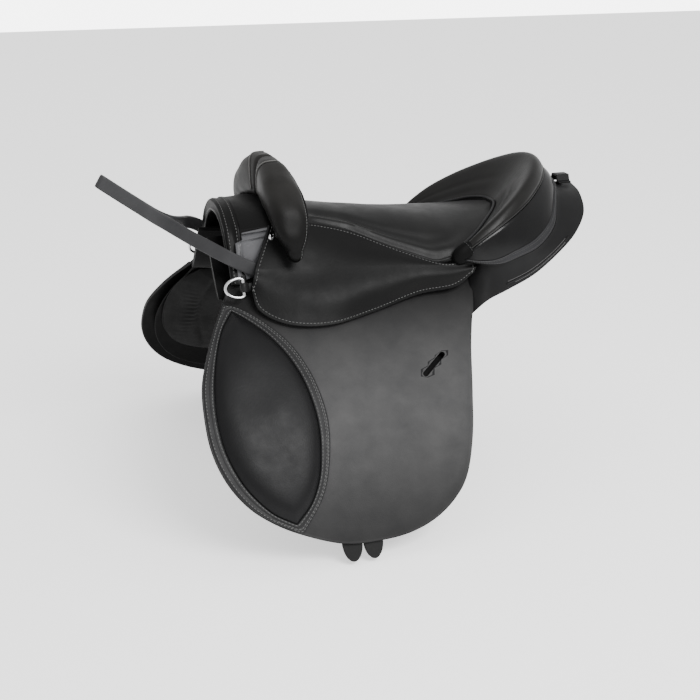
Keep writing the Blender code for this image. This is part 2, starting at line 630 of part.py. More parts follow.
def make_cantle():
    """Roll, wall, stitched band, inner board and the leathers behind the cantle."""
    count = 25
    welt, crest, seam, low = side_curves((WELT_LINE, CREST_LINE, ROLL_SEAM, WALL_LOW), count)
    swell = ROLL_SWELL * np.sin(np.linspace(0.12, math.pi - 0.12, count))[:, None]
    up = np.array((0, 0, 1.0))
    lift = (crest - (welt + seam) / 2)
    lift /= np.linalg.norm(lift, axis=1)[:, None]
    away = seam - crest
    away /= np.linalg.norm(away, axis=1)[:, None]
    inner = welt + (crest - welt) * 0.5 + lift * swell
    outer = crest + (seam - crest) * 0.5 + (lift + away) * swell * 0.9
    near_top = crest + (inner - crest) * 0.35 + lift * swell * 0.5
    floor_in = welt + (seam - welt) * 0.25 - up * 0.004
    floor_out = welt + (seam - welt) * 0.75 - up * 0.0005
    sections = np.stack([welt, inner, near_top, crest, outer, seam, floor_out, floor_in], 1)
    loft(sections, "cantle_roll", "pad_leather", 60)
    top = seam - up * (GAP * 3)
    wall = np.stack([top + (low - top) * q for q in np.linspace(0, 1, 5)], 1)
    shell(wall, WALL_T, "cantle_wall", "wall_leather")
    push = np.cross(np.gradient(low, axis=0), top - low)
    push /= np.linalg.norm(push, axis=1)[:, None]
    band = np.stack([low + (top - low) * q for q in (BAND_H, BAND_H / 2, 0.0)], 1)
    band = band + push[:, None, :] * (COVER_T * 0.6 + GAP)
    shell(band, COVER_T * 0.6, "cantle_band", "smooth_leather")
    board_top = seam - push * (WALL_T + BOARD_GAP) - up * 0.012
    board_low = low - push * (WALL_T + BOARD_GAP) + up * 0.002
    board = np.stack([board_top + (board_low - board_top) * q for q in np.linspace(0, 1, 4)], 1)
    shell(board[3:-3], BOARD_T, "cantle_board", "tree_board")
    make_welt(welt)
    rear = spline(REAR_LOW, 14)[:REAR_ROWS]
    start = spline(WALL_LOW, 14)[:REAR_ROWS]
    for label, side in SIDES:
        grid = np.array([[a + (b - a) * q for q in np.linspace(0.03, 1, 5)] for a, b in zip(start, rear)])
        grid[:, :, 2] -= 0.0035
        grid[0, :, 1] = 2 * GAP
        grid = grid * (1, side, 1)
        grid = grid if side > 0 else turned(grid)
        shell(grid, REAR_T, f"rear_skirt_{label}", "smooth_leather")


def wire(name, points, radius, mat, closed=False, sides=2):
    """A round wire or piping along the points."""
    curve = bpy.data.curves.new(name, "CURVE")
    curve.dimensions = "3D"
    curve.bevel_depth = radius
    curve.bevel_resolution = sides
    curve.use_fill_caps = True
    line = curve.splines.new("POLY")
    line.points.add(len(points) - 1)
    for point, co in zip(line.points, points):
        point.co = (*co, 1)
    line.use_cyclic_u = closed
    obj = bpy.data.objects.new(name, curve)
    PARTS.objects.link(obj)
    curve.materials.append(MATERIALS[mat])
    return obj


def make_welt(welt):
    """The piping in the joint between the tongue of the seat and the roll."""
    points = welt[1:-1] + (-0.0012, 0.0, 0.0022)
    wire("seat_welt", points, 0.0011, "smooth_leather")


def slot_cutter(side):
    """A round-ended bar through the flap, square to the leather."""
    a, b = np.array(SLOT_ENDS)
    run = (b - a) / np.linalg.norm(b - a)
    across = np.array([-run[1], run[0]]) * SLOT_WIDE / 2
    turn = np.linspace(-math.pi / 2, math.pi / 2, 7)
    end = [b + run * math.cos(t) * SLOT_WIDE / 2 + across * math.sin(t) for t in turn]
    start = [a - run * math.cos(t) * SLOT_WIDE / 2 - across * math.sin(t) for t in turn]
    outline = np.array(end + start)
    bm = pattern_mesh([outline], FLAP_T * 4)
    for v in bm.verts:
        v.co = Vector(on_barrel(v.co.x, v.co.y, FLAP_D + FLAP_T / 2 + v.co.z, side))
    bmesh.ops.recalc_face_normals(bm, faces=bm.faces)
    if bm.calc_volume(signed=True) < 0:
        bmesh.ops.reverse_faces(bm, faces=bm.faces)
    mesh = bpy.data.meshes.new("slot_cutter")
    bm.to_mesh(mesh)
    bm.free()
    obj = bpy.data.objects.new("slot_cutter", mesh)
    TOOLS.objects.link(obj)
    obj.hide_render = True
    obj.display_type = "WIRE"
    return obj


def pad_outline():
    return rounded([(PAD_TIPS[0], *PAD_FRONT, PAD_TIPS[1]), (PAD_TIPS[1], *PAD_REAR, PAD_TIPS[0])], 2)


def grown(outline, amount):
    """The outline moved outward by an amount, along its own normals."""
    run = np.roll(outline, -1, 0) - np.roll(outline, 1, 0)
    run /= np.linalg.norm(run, axis=1)[:, None]
    return outline + np.stack([-run[:, 1], run[:, 0]], -1) * amount


def make_flaps():
    """Flap with its slot, flap top, knee pad and the stitched border round it."""
    rim = np.vstack([spline(FLAP_SHAPE, 56)])
    front = spline(FLAP_SHAPE[:10], 22) + (BORDER_INSET, 0)
    border_rear = spline(BORDER_REAR, 22)
    border = np.vstack([front, border_rear])
    pad = pad_outline()
    for label, side in SIDES:
        flap = leather(f"flap_{label}", [rim], FLAP_D, FLAP_T, side, "flap_leather")
        cut = flap.modifiers.new("slot", "BOOLEAN")
        cut.operation = "DIFFERENCE"
        cut.object = slot_cutter(side)
        leather(f"flap_top_{label}", [np.array(FLAP_TOP_SHAPE)], FLAP_D, FLAP_T, side, "flap_leather")
        level = FLAP_D + FLAP_T + GAP
        ring = [border, grown(pad, BORDER_GAP)]
        edge = leather(f"knee_border_{label}", ring, level, BORDER_T, side, "smooth_leather")
        knee = padded(f"knee_pad_{label}", pad, PAD_MIDDLE, level, PAD_EDGE, PAD_CROWN, side, "pad_leather")
        bent = hang(f"flap_bend_{label}", bend_line(0.5) * (1, side, 1), [flap, edge, knee])
        skirt = bpy.data.objects[f"skirt_bend_{label}"]
        skirt.parent = bent
        skirt.matrix_parent_inverse = bent.matrix_world.inverted()


def make_under_flaps():
    """Sweat flap, lower panel, webbing and the two girth straps of each side."""
    sweat = rounded([(*SWEAT_SHAPE[:16],), (*SWEAT_SHAPE[15:], SWEAT_SHAPE[0])], 2)
    lower = rounded([(*LOWER_PANEL_SHAPE,), (LOWER_PANEL_SHAPE[-1], (-0.04, -0.004), LOWER_PANEL_SHAPE[0])], 2)
    for label, side in SIDES:
        leather(f"sweat_flap_{label}", [sweat], SWEAT_D, SWEAT_T, side, "panel_leather")
        padded(f"lower_panel_{label}", lower, LOWER_PANEL_MIDDLE, PANEL_D, PANEL_EDGE, LOWER_PANEL_CROWN,
               side, "panel_leather", out=-1)
        a, b = WEB_X
        c, d = WEB_DOWN
        web = np.array([(a, c), (a, d), (b, d), (b, c)])
        leather(f"girth_webbing_{label}", [web], WEB_D, WEB_T, side, "webbing")
        straps = []
        for place, mid in zip(("front", "rear"), BILLET_X):
            half = BILLET_W / 2
            tip = [(half, 0.020), (half * 0.86, 0.009), (half * 0.52, 0.003), (0.0, 0.0),
                   (-half * 0.52, 0.003), (-half * 0.86, 0.009), (-half, 0.020)]
            outline = [(mid + x, BILLET_TIP - up) for x, up in tip]
            outline += [(mid - half, BILLET_TOP), (mid + half, BILLET_TOP)]
            straps.append(leather(f"girth_strap_{place}_{label}", [np.array(outline)], BILLET_D, BILLET_T, side,
                                  "strap_leather"))
        pivot = on_barrel(sum(BILLET_X) / 2, BILLET_PIVOT, BILLET_D + BILLET_T / 2, side)
        hang(f"girth_swing_{label}", pivot, straps)


def panel_top(x, y):
    """The highest that the bearing panel may reach under the tree, the leathers and the rear skirt."""
    depth = COVER_T + FOAM_GAP + FOAM_T + 4 * GAP + WEB_T * 1.5 + TREE_T + PANEL_CLEAR
    half = np.interp(x, TOP_X, TOP_W)
    q = np.clip(y / half, 0, 1)
    tall = np.interp(x, TOP_X, TOP_MID) - np.interp(x, TOP_X, TOP_EDGE)
    slope = tall / half * TOP_ROUND * q ** (TOP_ROUND - 1)
    seat = top_point(x, q)[..., 2] - depth * np.sqrt(1 + slope**2)
    head = np.interp(y, half_arch(FACING_FRONT, 0.0155)[:, 0], half_arch(FACING_FRONT, 0.0155)[:, 1])
    seat = np.where(x < SEAT_FRONT + 0.004, np.minimum(seat, head - 0.002), seat)
    rise = np.clip((x - 0.165) / 0.075, 0, 1)
    rise = rise * rise * (3 - 2 * rise)
    side = barrel_height(y, PANEL_D) + REAR_LIFT * rise
    roof = np.where(x > TREE_REAR, 0.0900, seat)
    return np.minimum(side, roof)


def make_panels():
    """The two bearing cushions, one each side of the gullet, from the head to the rear."""
    rows = 17
    for label, side in SIDES:
        sections = []
        for x in np.linspace(PANEL_FRONT, PANEL_REAR, rows):
            t = (x - PANEL_FRONT) / (PANEL_REAR - PANEL_FRONT)
            ends = min(1.0, 0.45 + 5.0 * min(t, 1 - t))
            narrow = PANEL_OUT - 0.030 * max(0.0, t - 0.80) / 0.20
            y = np.linspace(PANEL_IN, narrow, 7)
            q = (y - PANEL_IN) / (narrow - PANEL_IN)
            top = panel_top(np.full(7, x), y)
            belly = PANEL_DEEP * ends * (0.30 + 0.70 * np.sin(np.pi * q) ** 0.7)
            upper = np.stack([np.full(7, x), side * y, top], -1)
            lower = np.stack([np.full(7, x), side * y, top - belly], -1)
            sections.append(np.vstack([upper, lower[::-1]]))
        loft(sections, f"panel_{label}", "panel_leather", 60)


def frame_at(s, d, side):
    """Axes on the barrel at s: along the saddle, up the side, outward, and the point."""
    lean = float(np.interp(s, BARREL[0], BARREL[3]))
    up = Vector((0, -side * math.sin(lean), math.cos(lean)))
    out = Vector((0, side * math.cos(lean), math.sin(lean)))
    return up, out, Vector(on_barrel(0.0, s, d, side))


def extruded(name, outline, height, matrix, mat, hole=None):
    """A flat outline given its height about its middle plane and placed by a matrix."""
    bm = pattern_mesh([outline] + ([hole] if hole is not None else []), height)
    bmesh.ops.transform(bm, matrix=matrix, verts=bm.verts)
    return object_from(bm, name, mat)


def make_stirrup_bars():
    """A forged bar on each side for the stirrup leather, and the catch at its open end."""
    d0, d1, d2, d3 = BAR_D
    front, rear = BAR_X
    bar = np.array([
        (front - 0.012, d0), (rear + 0.014, d0), (rear + 0.014, d1), (front + 0.002, d1), (front + 0.002, d2),
        (rear, d2), (rear, d3), (front + 0.001, d3), (front - 0.004, d3 - 0.004), (front - 0.006, d1),
        (front - 0.012, d1),
    ])
    pin = rear + GAP + CATCH_PIN
    turn = np.linspace(math.pi / 2, 3 * math.pi / 2, 9)
    catch = [(pin + CATCH_PIN * math.cos(t), CATCH_PIN * math.sin(t)) for t in turn]
    catch += [(rear + CATCH_L, -CATCH_PIN * 0.8), (rear + CATCH_L, CATCH_PIN * 0.8)]
    for label, side in SIDES:
        up, out, point = frame_at(BAR_S, 0.0, side)
        place = Matrix.Identity(4)
        place.col[0][:3] = (1, 0, 0)
        place.col[1][:3] = out
        place.col[2][:3] = up
        place.col[3][:3] = point
        extruded(f"stirrup_bar_{label}", bar, BAR_H, place, "steel")
        turn = Matrix.Identity(4)
        turn.col[0][:3] = (1, 0, 0)
        turn.col[1][:3] = up
        turn.col[2][:3] = out
        turn.col[3][:3] = point + out * (d2 + d3) / 2
        obj = extruded(f"bar_catch_{label}", np.array(catch), d3 - d2, turn, "steel")
        pivot = point + out * (d2 + d3) / 2 + Vector((pin, 0, 0))
        hang(f"catch_pin_{label}", pivot, [obj])


def make_rings():
    """Front D-rings, each in a leather chape that wraps its straight side."""
    for label, side in SIDES:
        a = np.array(RING_BAR[0]) * (1, side, 1)
        b = np.array(RING_BAR[1]) * (1, side, 1)
        along = (a - b) / np.linalg.norm(a - b)
        ahead = np.array((-1.0, 0, 0))
        half = np.linalg.norm(a - b) / 2
        mid = (a + b) / 2
        arc = np.linspace(math.pi / 2, -math.pi / 2, 13)
        points = [mid + along * half * math.sin(t) + ahead * (0.004 + (RING_REACH - 0.004) * math.cos(t)) for t in arc]
        points = [mid + along * half * 0.86] + points + [mid - along * half * 0.86]
        ring = wire(f"d_ring_{label}", points, RING_WIRE / 2, "chrome", closed=True)
        hang(f"d_ring_bar_{label}", mid, [ring])
        inner = RING_WIRE / 2 + GAP
        outer = inner + CHAPE_T
        turn = np.linspace(math.radians(-60), math.radians(-300), 15)
        loop_out = [(outer * math.cos(t), outer * math.sin(t)) for t in turn]
        outline = np.array(loop_out + [(0.0048, 0.0010), (0.0066, -0.0030), (CHAPE_TAIL, CHAPE_T * 1.3 - CHAPE_DROP),
                           (CHAPE_TAIL, -CHAPE_DROP), (0.0062, -0.0062), (0.0036, -0.0034)])
        place = Matrix.Identity(4)
        outward = Vector(np.cross(along, (1.0, 0, 0))) * side
        outward.normalize()
        place.col[0][:3] = (1, 0, 0)
        place.col[1][:3] = outward
        place.col[2][:3] = Vector(along)
        place.col[3][:3] = Vector(mid)
        turn = np.linspace(0, 2 * math.pi, 14, endpoint=False)
        hole = np.stack([inner * np.cos(turn), inner * np.sin(turn)], -1)
        extruded(f"ring_chape_{label}", outline, CHAPE_H, place, "strap_leather", hole)


def make_nails():
    """A domed saddle nail at the front corner of each skirt."""
    seam, line = np.array(SEAM_LINE[0]) + SEAM_LAP, np.array(BEND_FRONT)
    next_seam = np.array(SEAM_LINE[1]) + SEAM_LAP
    down = (line - seam) / np.linalg.norm(line - seam)
    across = (next_seam - seam) / np.linalg.norm(next_seam - seam)
    out = np.cross(across, down)
    out *= np.sign(out[1]) / np.linalg.norm(out)
    at = seam + down * NAIL_DOWN + across * NAIL_BACK
    for label, side in SIDES:
        bm = bmesh.new()
        bmesh.ops.create_uvsphere(bm, u_segments=12, v_segments=8, radius=NAIL_R)
        bmesh.ops.bisect_plane(bm, geom=bm.verts[:] + bm.edges[:] + bm.faces[:], plane_co=(0, 0, 0),
                               plane_no=(0, 0, 1), clear_inner=True, dist=1e-6)
        rim = [e for e in bm.edges if e.is_boundary]
        bmesh.ops.contextual_create(bm, geom=rim)
        bmesh.ops.scale(bm, vec=(1, 1, 0.55), verts=bm.verts)
        normal = Vector(out * (1, side, 1))
        matrix = Vector((0, 0, 1)).rotation_difference(normal).to_matrix().to_4x4()
        matrix.translation = Vector(at * (1, side, 1)) + normal * NAIL_LIFT
        bmesh.ops.transform(bm, matrix=matrix, verts=bm.verts)
        object_from(bm, f"saddle_nail_{label}", "chrome")


def make_strap():
    """The holding strap: one leather bent into a long U, screwed to the head at both ends."""
    path = spline(STRAP_PATH, 46)
    path = np.vstack([path, (path * (1, -1, 1))[-2::-1]])
    run = np.gradient(path, axis=0)
    run /= np.linalg.norm(run, axis=1)[:, None]
    slope = np.array(STRAP_PATH[-1]) - STRAP_PATH[1]
    plane = np.cross((0, 1.0, 0), slope * (1, 0, 1))
    plane /= np.linalg.norm(plane)
    wide = plane - run * (run @ plane)[:, None]
    wide /= np.linalg.norm(wide, axis=1)[:, None]
    thick = np.cross(run, wide)
    corners = ((-0.5, -0.5), (0.5, -0.5), (0.5, 0.5), (-0.5, 0.5))
    sections = np.stack([path + wide * STRAP_W * a + thick * STRAP_T * b for a, b in corners], 1)
    strap = loft(sections, "holding_strap", "strap_leather", 35)
    hang("strap_pivot", (STRAP_PIVOT[0], 0, STRAP_PIVOT[2]), [strap])
    for label, side in SIDES:
        bm = bmesh.new()
        bmesh.ops.create_cone(bm, cap_ends=True, segments=14, radius1=SCREW_R, radius2=SCREW_R * 0.8, depth=0.0016)
        matrix = Matrix.Rotation(math.radians(-90 * side), 4, "X")
        level = STRAP_PIVOT[1] + STRAP_T / 2 + 0.0008 + GAP
        matrix.translation = Vector((STRAP_PIVOT[0], side * level, STRAP_PIVOT[2]))
        bmesh.ops.transform(bm, matrix=matrix, verts=bm.verts)
        object_from(bm, f"strap_screw_{label}", "steel")


def make_small():
    """The small leather loop on the middle line behind the cantle."""
    outer = [(-LOOP_W, 0.0), (-LOOP_W, 0.0022), (-0.010, 0.0030), (-0.007, 0.0105), (0.007, 0.0105), (0.010, 0.0030),
             (LOOP_W, 0.0022), (LOOP_W, 0.0), (0.0075, 0.0), (0.0050, 0.0082), (-0.0050, 0.0082), (-0.0075, 0.0)]
    place = Matrix.Identity(4)
    place.col[0][:3] = (0, 1, 0)
    place.col[1][:3] = (0, 0, 1)
    place.col[2][:3] = (1, 0, 0)
    place.col[3][:3] = (LOOP_X, 0, 0.1022)
    extruded("rear_loop", np.array(outer), 0.018, place, "strap_leather")


make_seat()
make_head()
make_blocks()
make_skirts()
make_cantle()
make_flaps()
make_under_flaps()
make_panels()
make_stirrup_bars()
make_rings()
make_nails()
make_strap()
make_small()
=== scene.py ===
# %% [markdown]
# # A pony saddle in black leather
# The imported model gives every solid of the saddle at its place, in metres: -X is towards the
# pony's head, -Y is the near side and +Z is up. This notebook dresses it. Each leather is
# worked out as a grid of points with numpy, sewn with modelled thread, and given a node
# material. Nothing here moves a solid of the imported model.

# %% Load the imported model
import math

import bpy
import numpy as np
from mathutils import Matrix


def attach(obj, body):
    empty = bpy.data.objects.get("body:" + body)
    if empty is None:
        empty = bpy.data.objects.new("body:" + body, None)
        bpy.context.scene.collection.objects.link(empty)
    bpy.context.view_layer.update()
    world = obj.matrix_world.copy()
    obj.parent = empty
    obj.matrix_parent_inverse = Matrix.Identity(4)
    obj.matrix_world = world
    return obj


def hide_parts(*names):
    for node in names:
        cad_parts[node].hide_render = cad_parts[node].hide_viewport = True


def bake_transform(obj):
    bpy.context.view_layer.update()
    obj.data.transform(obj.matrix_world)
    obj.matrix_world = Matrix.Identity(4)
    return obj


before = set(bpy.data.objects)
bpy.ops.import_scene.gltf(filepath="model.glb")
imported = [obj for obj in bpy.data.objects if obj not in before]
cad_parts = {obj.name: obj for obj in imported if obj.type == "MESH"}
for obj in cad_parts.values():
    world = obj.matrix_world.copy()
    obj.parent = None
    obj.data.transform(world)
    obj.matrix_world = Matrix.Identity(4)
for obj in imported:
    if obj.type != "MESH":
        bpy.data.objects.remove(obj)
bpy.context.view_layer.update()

SIDES = (("left", -1), ("right", 1))

# %% [markdown]
# ## Camera
# The photograph looks at the near side from a little ahead of it and above it. A long lens
# keeps the far flap small but visible under the pommel. The lens and the distance were found by
# matching the strap's end, the cantle and the tips of the girth straps.

# %% Camera at the photograph's angle
AZIMUTH, ELEVATION = math.radians(-19), math.radians(20)
AIM = np.array((0.0, 0.0, -0.1))
DISTANCE = 1.6
PIXELS_PER_METRE = 769
FRAME_PIXELS = 700
SENSOR = 36.0
CLIP_NEAR, CLIP_FAR = 0.05, 60.0


def camera_axes():
    """Right, up and back directions of a level camera, turned by the azimuth and then raised."""
    sa, ca, se, ce = math.sin(AZIMUTH), math.cos(AZIMUTH), math.sin(ELEVATION), math.cos(ELEVATION)
    return np.array(((ca, sa, 0.0), (-sa * se, ca * se, ce), (sa * ce, -ca * ce, se)))


def set_in_scene(obj, axes, place):
    """Link an object and set it at a place, with its right, up and back directions."""
    matrix = np.eye(4)
    matrix[:3, :3] = np.transpose(axes)
    matrix[:3, 3] = place
    bpy.context.scene.collection.objects.link(obj)
    obj.matrix_world = Matrix(matrix.tolist())


def make_camera():
    """Set up the camera. Its lens is the sensor's width times the
    distance over the width it sees."""
    data = bpy.data.cameras.new("photo_camera")
    data.sensor_width = SENSOR
    data.lens = SENSOR * PIXELS_PER_METRE * DISTANCE / FRAME_PIXELS
    data.clip_start, data.clip_end = CLIP_NEAR, CLIP_FAR
    camera = bpy.data.objects.new("photo_camera", data)
    axes = camera_axes()
    set_in_scene(camera, axes, AIM + axes[2] * DISTANCE)
    bpy.context.scene.camera = camera


make_camera()

# %% [markdown]
# ## Numpy tools
# Every surface below is a grid of points, `rows x columns x 3`. These helpers smooth a line
# of listed points, space it evenly, find a grid's normals and put a grid into a mesh in one
# go with `foreach_set`, which is far quicker than adding vertices one at a time.

# %% Lines and grids


def unit(v):
    """Each vector divided by its own length."""
    return v / np.maximum(np.linalg.norm(v, axis=-1, keepdims=True), 1e-12)


def cubic(a, b, c, d, f):
    """Share f of the way from b to c on the cubic whose slope at a
    point is half its neighbours' gap."""
    bend, turn = 2 * a - 5 * b + 4 * c - d, 3 * b - a - 3 * c + d
    return 0.5 * (2 * b + (c - a) * f + bend * f**2 + turn * f**3)


def spline(points, count):
    """A smooth curve through the points: that cubic on each span,
    with the ends carried straight on."""
    pts = np.asarray(points, float)
    ends = np.vstack([2 * pts[0] - pts[1], pts, 2 * pts[-1] - pts[-2]])
    where = np.linspace(0, len(pts) - 1, count)
    i = np.minimum(where.astype(int), len(pts) - 2)
    return cubic(ends[i], ends[i + 1], ends[i + 2], ends[i + 3], (where - i)[:, None])


def running_length(path):
    """The distance along the path at each of its points."""
    return np.concatenate([[0], np.cumsum(np.linalg.norm(np.diff(path, axis=0), axis=1))])


def sampled(at, run, values):
    """Every column of the values at the places `at`, read from a table of running places."""
    return np.stack([np.interp(at, run, values[:, k]) for k in range(values.shape[1])], -1)


def even(path, step):
    """The path resampled so that its points are about one step apart."""
    path = np.asarray(path, float)
    run = running_length(path)
    return sampled(np.linspace(0, run[-1], max(2, int(round(run[-1] / step)) + 1)), run, path)


def full_turn(count):
    """Evenly spaced angles right round a circle."""
    return np.linspace(0, 2 * math.pi, count, endpoint=False)


def bell(distance, width):
    """One at no distance, falling smoothly to a third at one width and to nothing soon after."""
    return np.exp(-((distance / width) ** 2))


def smoothed(line, count):
    """Each value's raised-cosine average over `count` neighbours."""
    window = np.hanning(count) / np.hanning(count).sum()
    return np.convolve(np.pad(line, count // 2, "edge"), window, "valid")


def grid_lengths(grid):
    """The running length across the grid's columns, row by row."""
    steps = np.linalg.norm(np.diff(grid, axis=1), axis=2)
    return np.concatenate([np.zeros((len(grid), 1)), np.cumsum(steps, 1)], 1)


def grid_normals(grid, hint):
    """Cross product of the grid's two directions at each point, turned to the side of the hint."""
    n = unit(np.cross(np.gradient(grid, axis=0), np.gradient(grid, axis=1)))
    return n if np.sum(n * hint) > 0 else -n


LIP_STEPS = (0, 0.12, 0.42, 1.0, 1.9)


def ticks(length, step, lip):
    """Shares of a length: even steps, with three short ones inside the rounded lip at each end."""
    fine = np.array(LIP_STEPS) * lip
    inner = np.linspace(fine[-1], length - fine[-1], max(2, int(length / step)))
    return np.concatenate([fine[:-1], inner, length - fine[-2::-1]]) / length


def quads(rows, columns, wrap_rows=False, wrap_columns=False):
    """Corner numbers of the quads of a grid, which may be wrapped round in either direction."""
    r = np.arange(rows if wrap_rows else rows - 1)[:, None]
    c = np.arange(columns if wrap_columns else columns - 1)[None, :]
    r2, c2 = (r + 1) % rows, (c + 1) % columns
    corners = (r * columns + c, r * columns + c2, r2 * columns + c2, r2 * columns + c)
    return np.stack(corners, -1).reshape(-1, 4)


def fans(rows, columns):
    """Corner numbers of the triangles that join each end ring of
    a grid to a tip point of its own."""
    k = np.arange(columns)
    nxt, end, tip = (k + 1) % columns, (rows - 1) * columns, np.full(columns, rows * columns)
    return np.concatenate([np.stack([k, tip, nxt], -1),
                           np.stack([k + end, nxt + end, tip + 1], -1)])


# %% Put points and faces into a mesh


def signed_volume(verts, faces):
    """A sixth of the sum, over each face's fan of triangles, of
    the triple product of its corners."""
    total = 0.0
    for block in faces:
        for k in range(1, block.shape[1] - 1):
            a, b, c = verts[block[:, 0]], verts[block[:, k]], verts[block[:, k + 1]]
            total += float(np.sum(a * np.cross(b, c)))
    return total / 6


def piece(name, verts, faces, finish, body, stands_for=(), angle=40, marks=None):
    """A closed mesh from arrays of points and faces: turned outward,
    finished and set to ride on a body."""
    verts = np.ascontiguousarray(verts, float).reshape(-1, 3)
    faces = [np.asarray(block, int) for block in faces if len(block)]
    if signed_volume(verts - verts.mean(0), faces) < 0:
        faces = [block[:, ::-1] for block in faces]
    sizes = np.concatenate([np.full(len(block), block.shape[1]) for block in faces])
    loops = np.concatenate([block.ravel() for block in faces])
    mesh = bpy.data.meshes.new(name)
    mesh.vertices.add(len(verts))
    mesh.vertices.foreach_set("co", verts.ravel())
    mesh.loops.add(len(loops))
    mesh.loops.foreach_set("vertex_index", loops)
    mesh.polygons.add(len(sizes))
    mesh.polygons.foreach_set("loop_start", np.concatenate([[0], np.cumsum(sizes)[:-1]]))
    mesh.update(calc_edges=True)
    mesh.validate()
    for key, values in (marks or {}).items():
        mark = mesh.attributes.new(key, "FLOAT", "POINT")
        mark.data.foreach_set("value", np.asarray(values, float).ravel())
    mesh.shade_smooth()
    mesh.set_sharp_from_angle(angle=math.radians(angle))
    mesh.materials.append(FINISHES[finish])
    obj = bpy.data.objects.new(name, mesh)
    bpy.context.scene.collection.objects.link(obj)
    if body:
        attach(obj, body)
    if stands_for:
        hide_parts(*stands_for)
    return obj


EDGE_MARK = 1.0
CREASE_IN = 0.0028
CREASE_WIDE = 0.0006
NO_EDGE = 9.0


def edge_drop(distance, lip):
    """How far a surface falls near its edge, on a quarter circle of radius lip."""
    near = np.clip(1 - distance / lip, 0, 1)
    return lip * (1 - np.sqrt(np.maximum(1 - near**2, 0)))


def slab(name, grid, thickness, hint, finish, body, stands_for=(), lip=0.001, free=(1, 1, 1, 1),
         crease=0.0):
    """A leather of even thickness under a grid: its free edges
    rounded, a crease pressed beside them."""
    rows, columns, _ = grid.shape
    normal = grid_normals(grid, hint)
    across, down = grid_lengths(grid), grid_lengths(grid.transpose(1, 0, 2)).T
    sides = (down, down[-1:] - down, across, across[:, -1:] - across)
    distance = np.min([d if use else np.full_like(d, NO_EDGE) for d, use in zip(sides, free)],
                      axis=0)
    drop = edge_drop(distance, lip)
    pressed = crease * bell(distance - CREASE_IN, CREASE_WIDE)
    top = grid - normal * (drop + pressed)[..., None]
    low = grid - normal * (thickness - drop)[..., None]
    shift = rows * columns
    upper = quads(rows, columns)
    index = np.arange(shift).reshape(rows, columns)
    rim = np.concatenate([index[0, :-1], index[:-1, -1], index[-1, :0:-1], index[:0:-1, 0]])
    nxt = np.roll(rim, -1)
    wall = np.stack([rim, rim + shift, nxt + shift, nxt], -1)
    return piece(name, [top, low], [upper, (upper + shift)[:, ::-1], wall], finish, body,
                 stands_for, marks={"edge": EDGE_MARK + np.array([distance, distance])})


def ring_solid(name, rings, finish, body, stands_for=(), angle=50, marks=None):
    """A closed body through rings of points with a point closing each end, as on a sphere."""
    rings = np.asarray(rings, float)
    count, columns, _ = rings.shape
    verts = np.concatenate([rings.reshape(-1, 3), rings[:1].mean(1), rings[-1:].mean(1)])
    if marks:
        tipped = lambda v: np.concatenate([np.ravel(v), [np.mean(v[0]), np.mean(v[-1])]])
        marks = {key: tipped(values) for key, values in marks.items()}
    faces = [quads(count, columns, wrap_columns=True), fans(count, columns)]
    return piece(name, verts, faces, finish, body, stands_for, angle, marks)


def looped(name, rings, finish, body, stands_for=(), angle=60):
    """A closed body through rings of points, the last of which joins the first."""
    rings = np.asarray(rings, float)
    faces = [quads(*rings.shape[:2], wrap_rows=True, wrap_columns=True)]
    return piece(name, rings, faces, finish, body, stands_for, angle)


def cut_away(obj, tool):
    """Cut one closed mesh out of another for good, then drop the cutter."""
    cut = obj.modifiers.new("cut", "BOOLEAN")
    cut.operation, cut.solver, cut.object = "DIFFERENCE", "EXACT", tool
    graph = bpy.context.evaluated_depsgraph_get()
    applied = bpy.data.meshes.new_from_object(obj.evaluated_get(graph))
    obj.modifiers.clear()
    obj.data = applied
    bpy.data.objects.remove(tool)


# %% Thread and piping


GRAIN_RINGS = ((-0.72, 0.78), (0.0, 1.0), (0.72, 0.78))
GRAIN_SIDES = 6
STITCH_PITCH, STITCH_LONG, STITCH_THICK = 0.0042, 0.003, 0.0008
STITCH_SINK = 0.00005


def grain_shape():
    """One stitch: three rings of six points along X that swell in
    the middle, with a point at each end."""
    turn = np.arange(GRAIN_SIDES) * math.pi / 3
    circle = np.column_stack([0 * turn, np.cos(turn), np.sin(turn)])
    rings = [circle * r + (x, 0, 0) for x, r in GRAIN_RINGS]
    verts = np.concatenate([*rings, [(-1.0, 0, 0)], [(1.0, 0, 0)]])
    return verts, quads(3, GRAIN_SIDES, wrap_columns=True), fans(3, GRAIN_SIDES)


GRAIN = grain_shape()


def thread(name, rows, body, finish="thread", pitch=STITCH_PITCH):
    """Rows of stitches, one every pitch along each path, each
    lying along the path on the surface."""
    found = []
    for path, normals in rows:
        run = running_length(path)
        at = np.arange(pitch / 2, run[-1] - pitch / 4, pitch)
        found.append([sampled(at, run, values)
                      for values in (path, unit(np.gradient(path, axis=0)), normals)])
    c, t, n = (np.concatenate(values) for values in zip(*found))
    t, n = unit(t), unit(n)
    b = unit(np.cross(n, t))
    n = np.cross(t, b)
    shape, sides, ends = GRAIN
    local = shape * (np.array((STITCH_LONG, STITCH_THICK, STITCH_THICK)) / 2)
    reach = sum(local[None, :, k, None] * axis[:, None] for k, axis in enumerate((t, b, n)))
    shift = (np.arange(len(c)) * len(shape))[:, None, None]
    blocks = [(block[None] + shift).reshape(-1, block.shape[1]) for block in (sides, ends)]
    piece(name, (c - n * STITCH_SINK)[:, None] + reach, blocks, finish, body, angle=80)
    print(f"{name}: {len(c)} stitches")


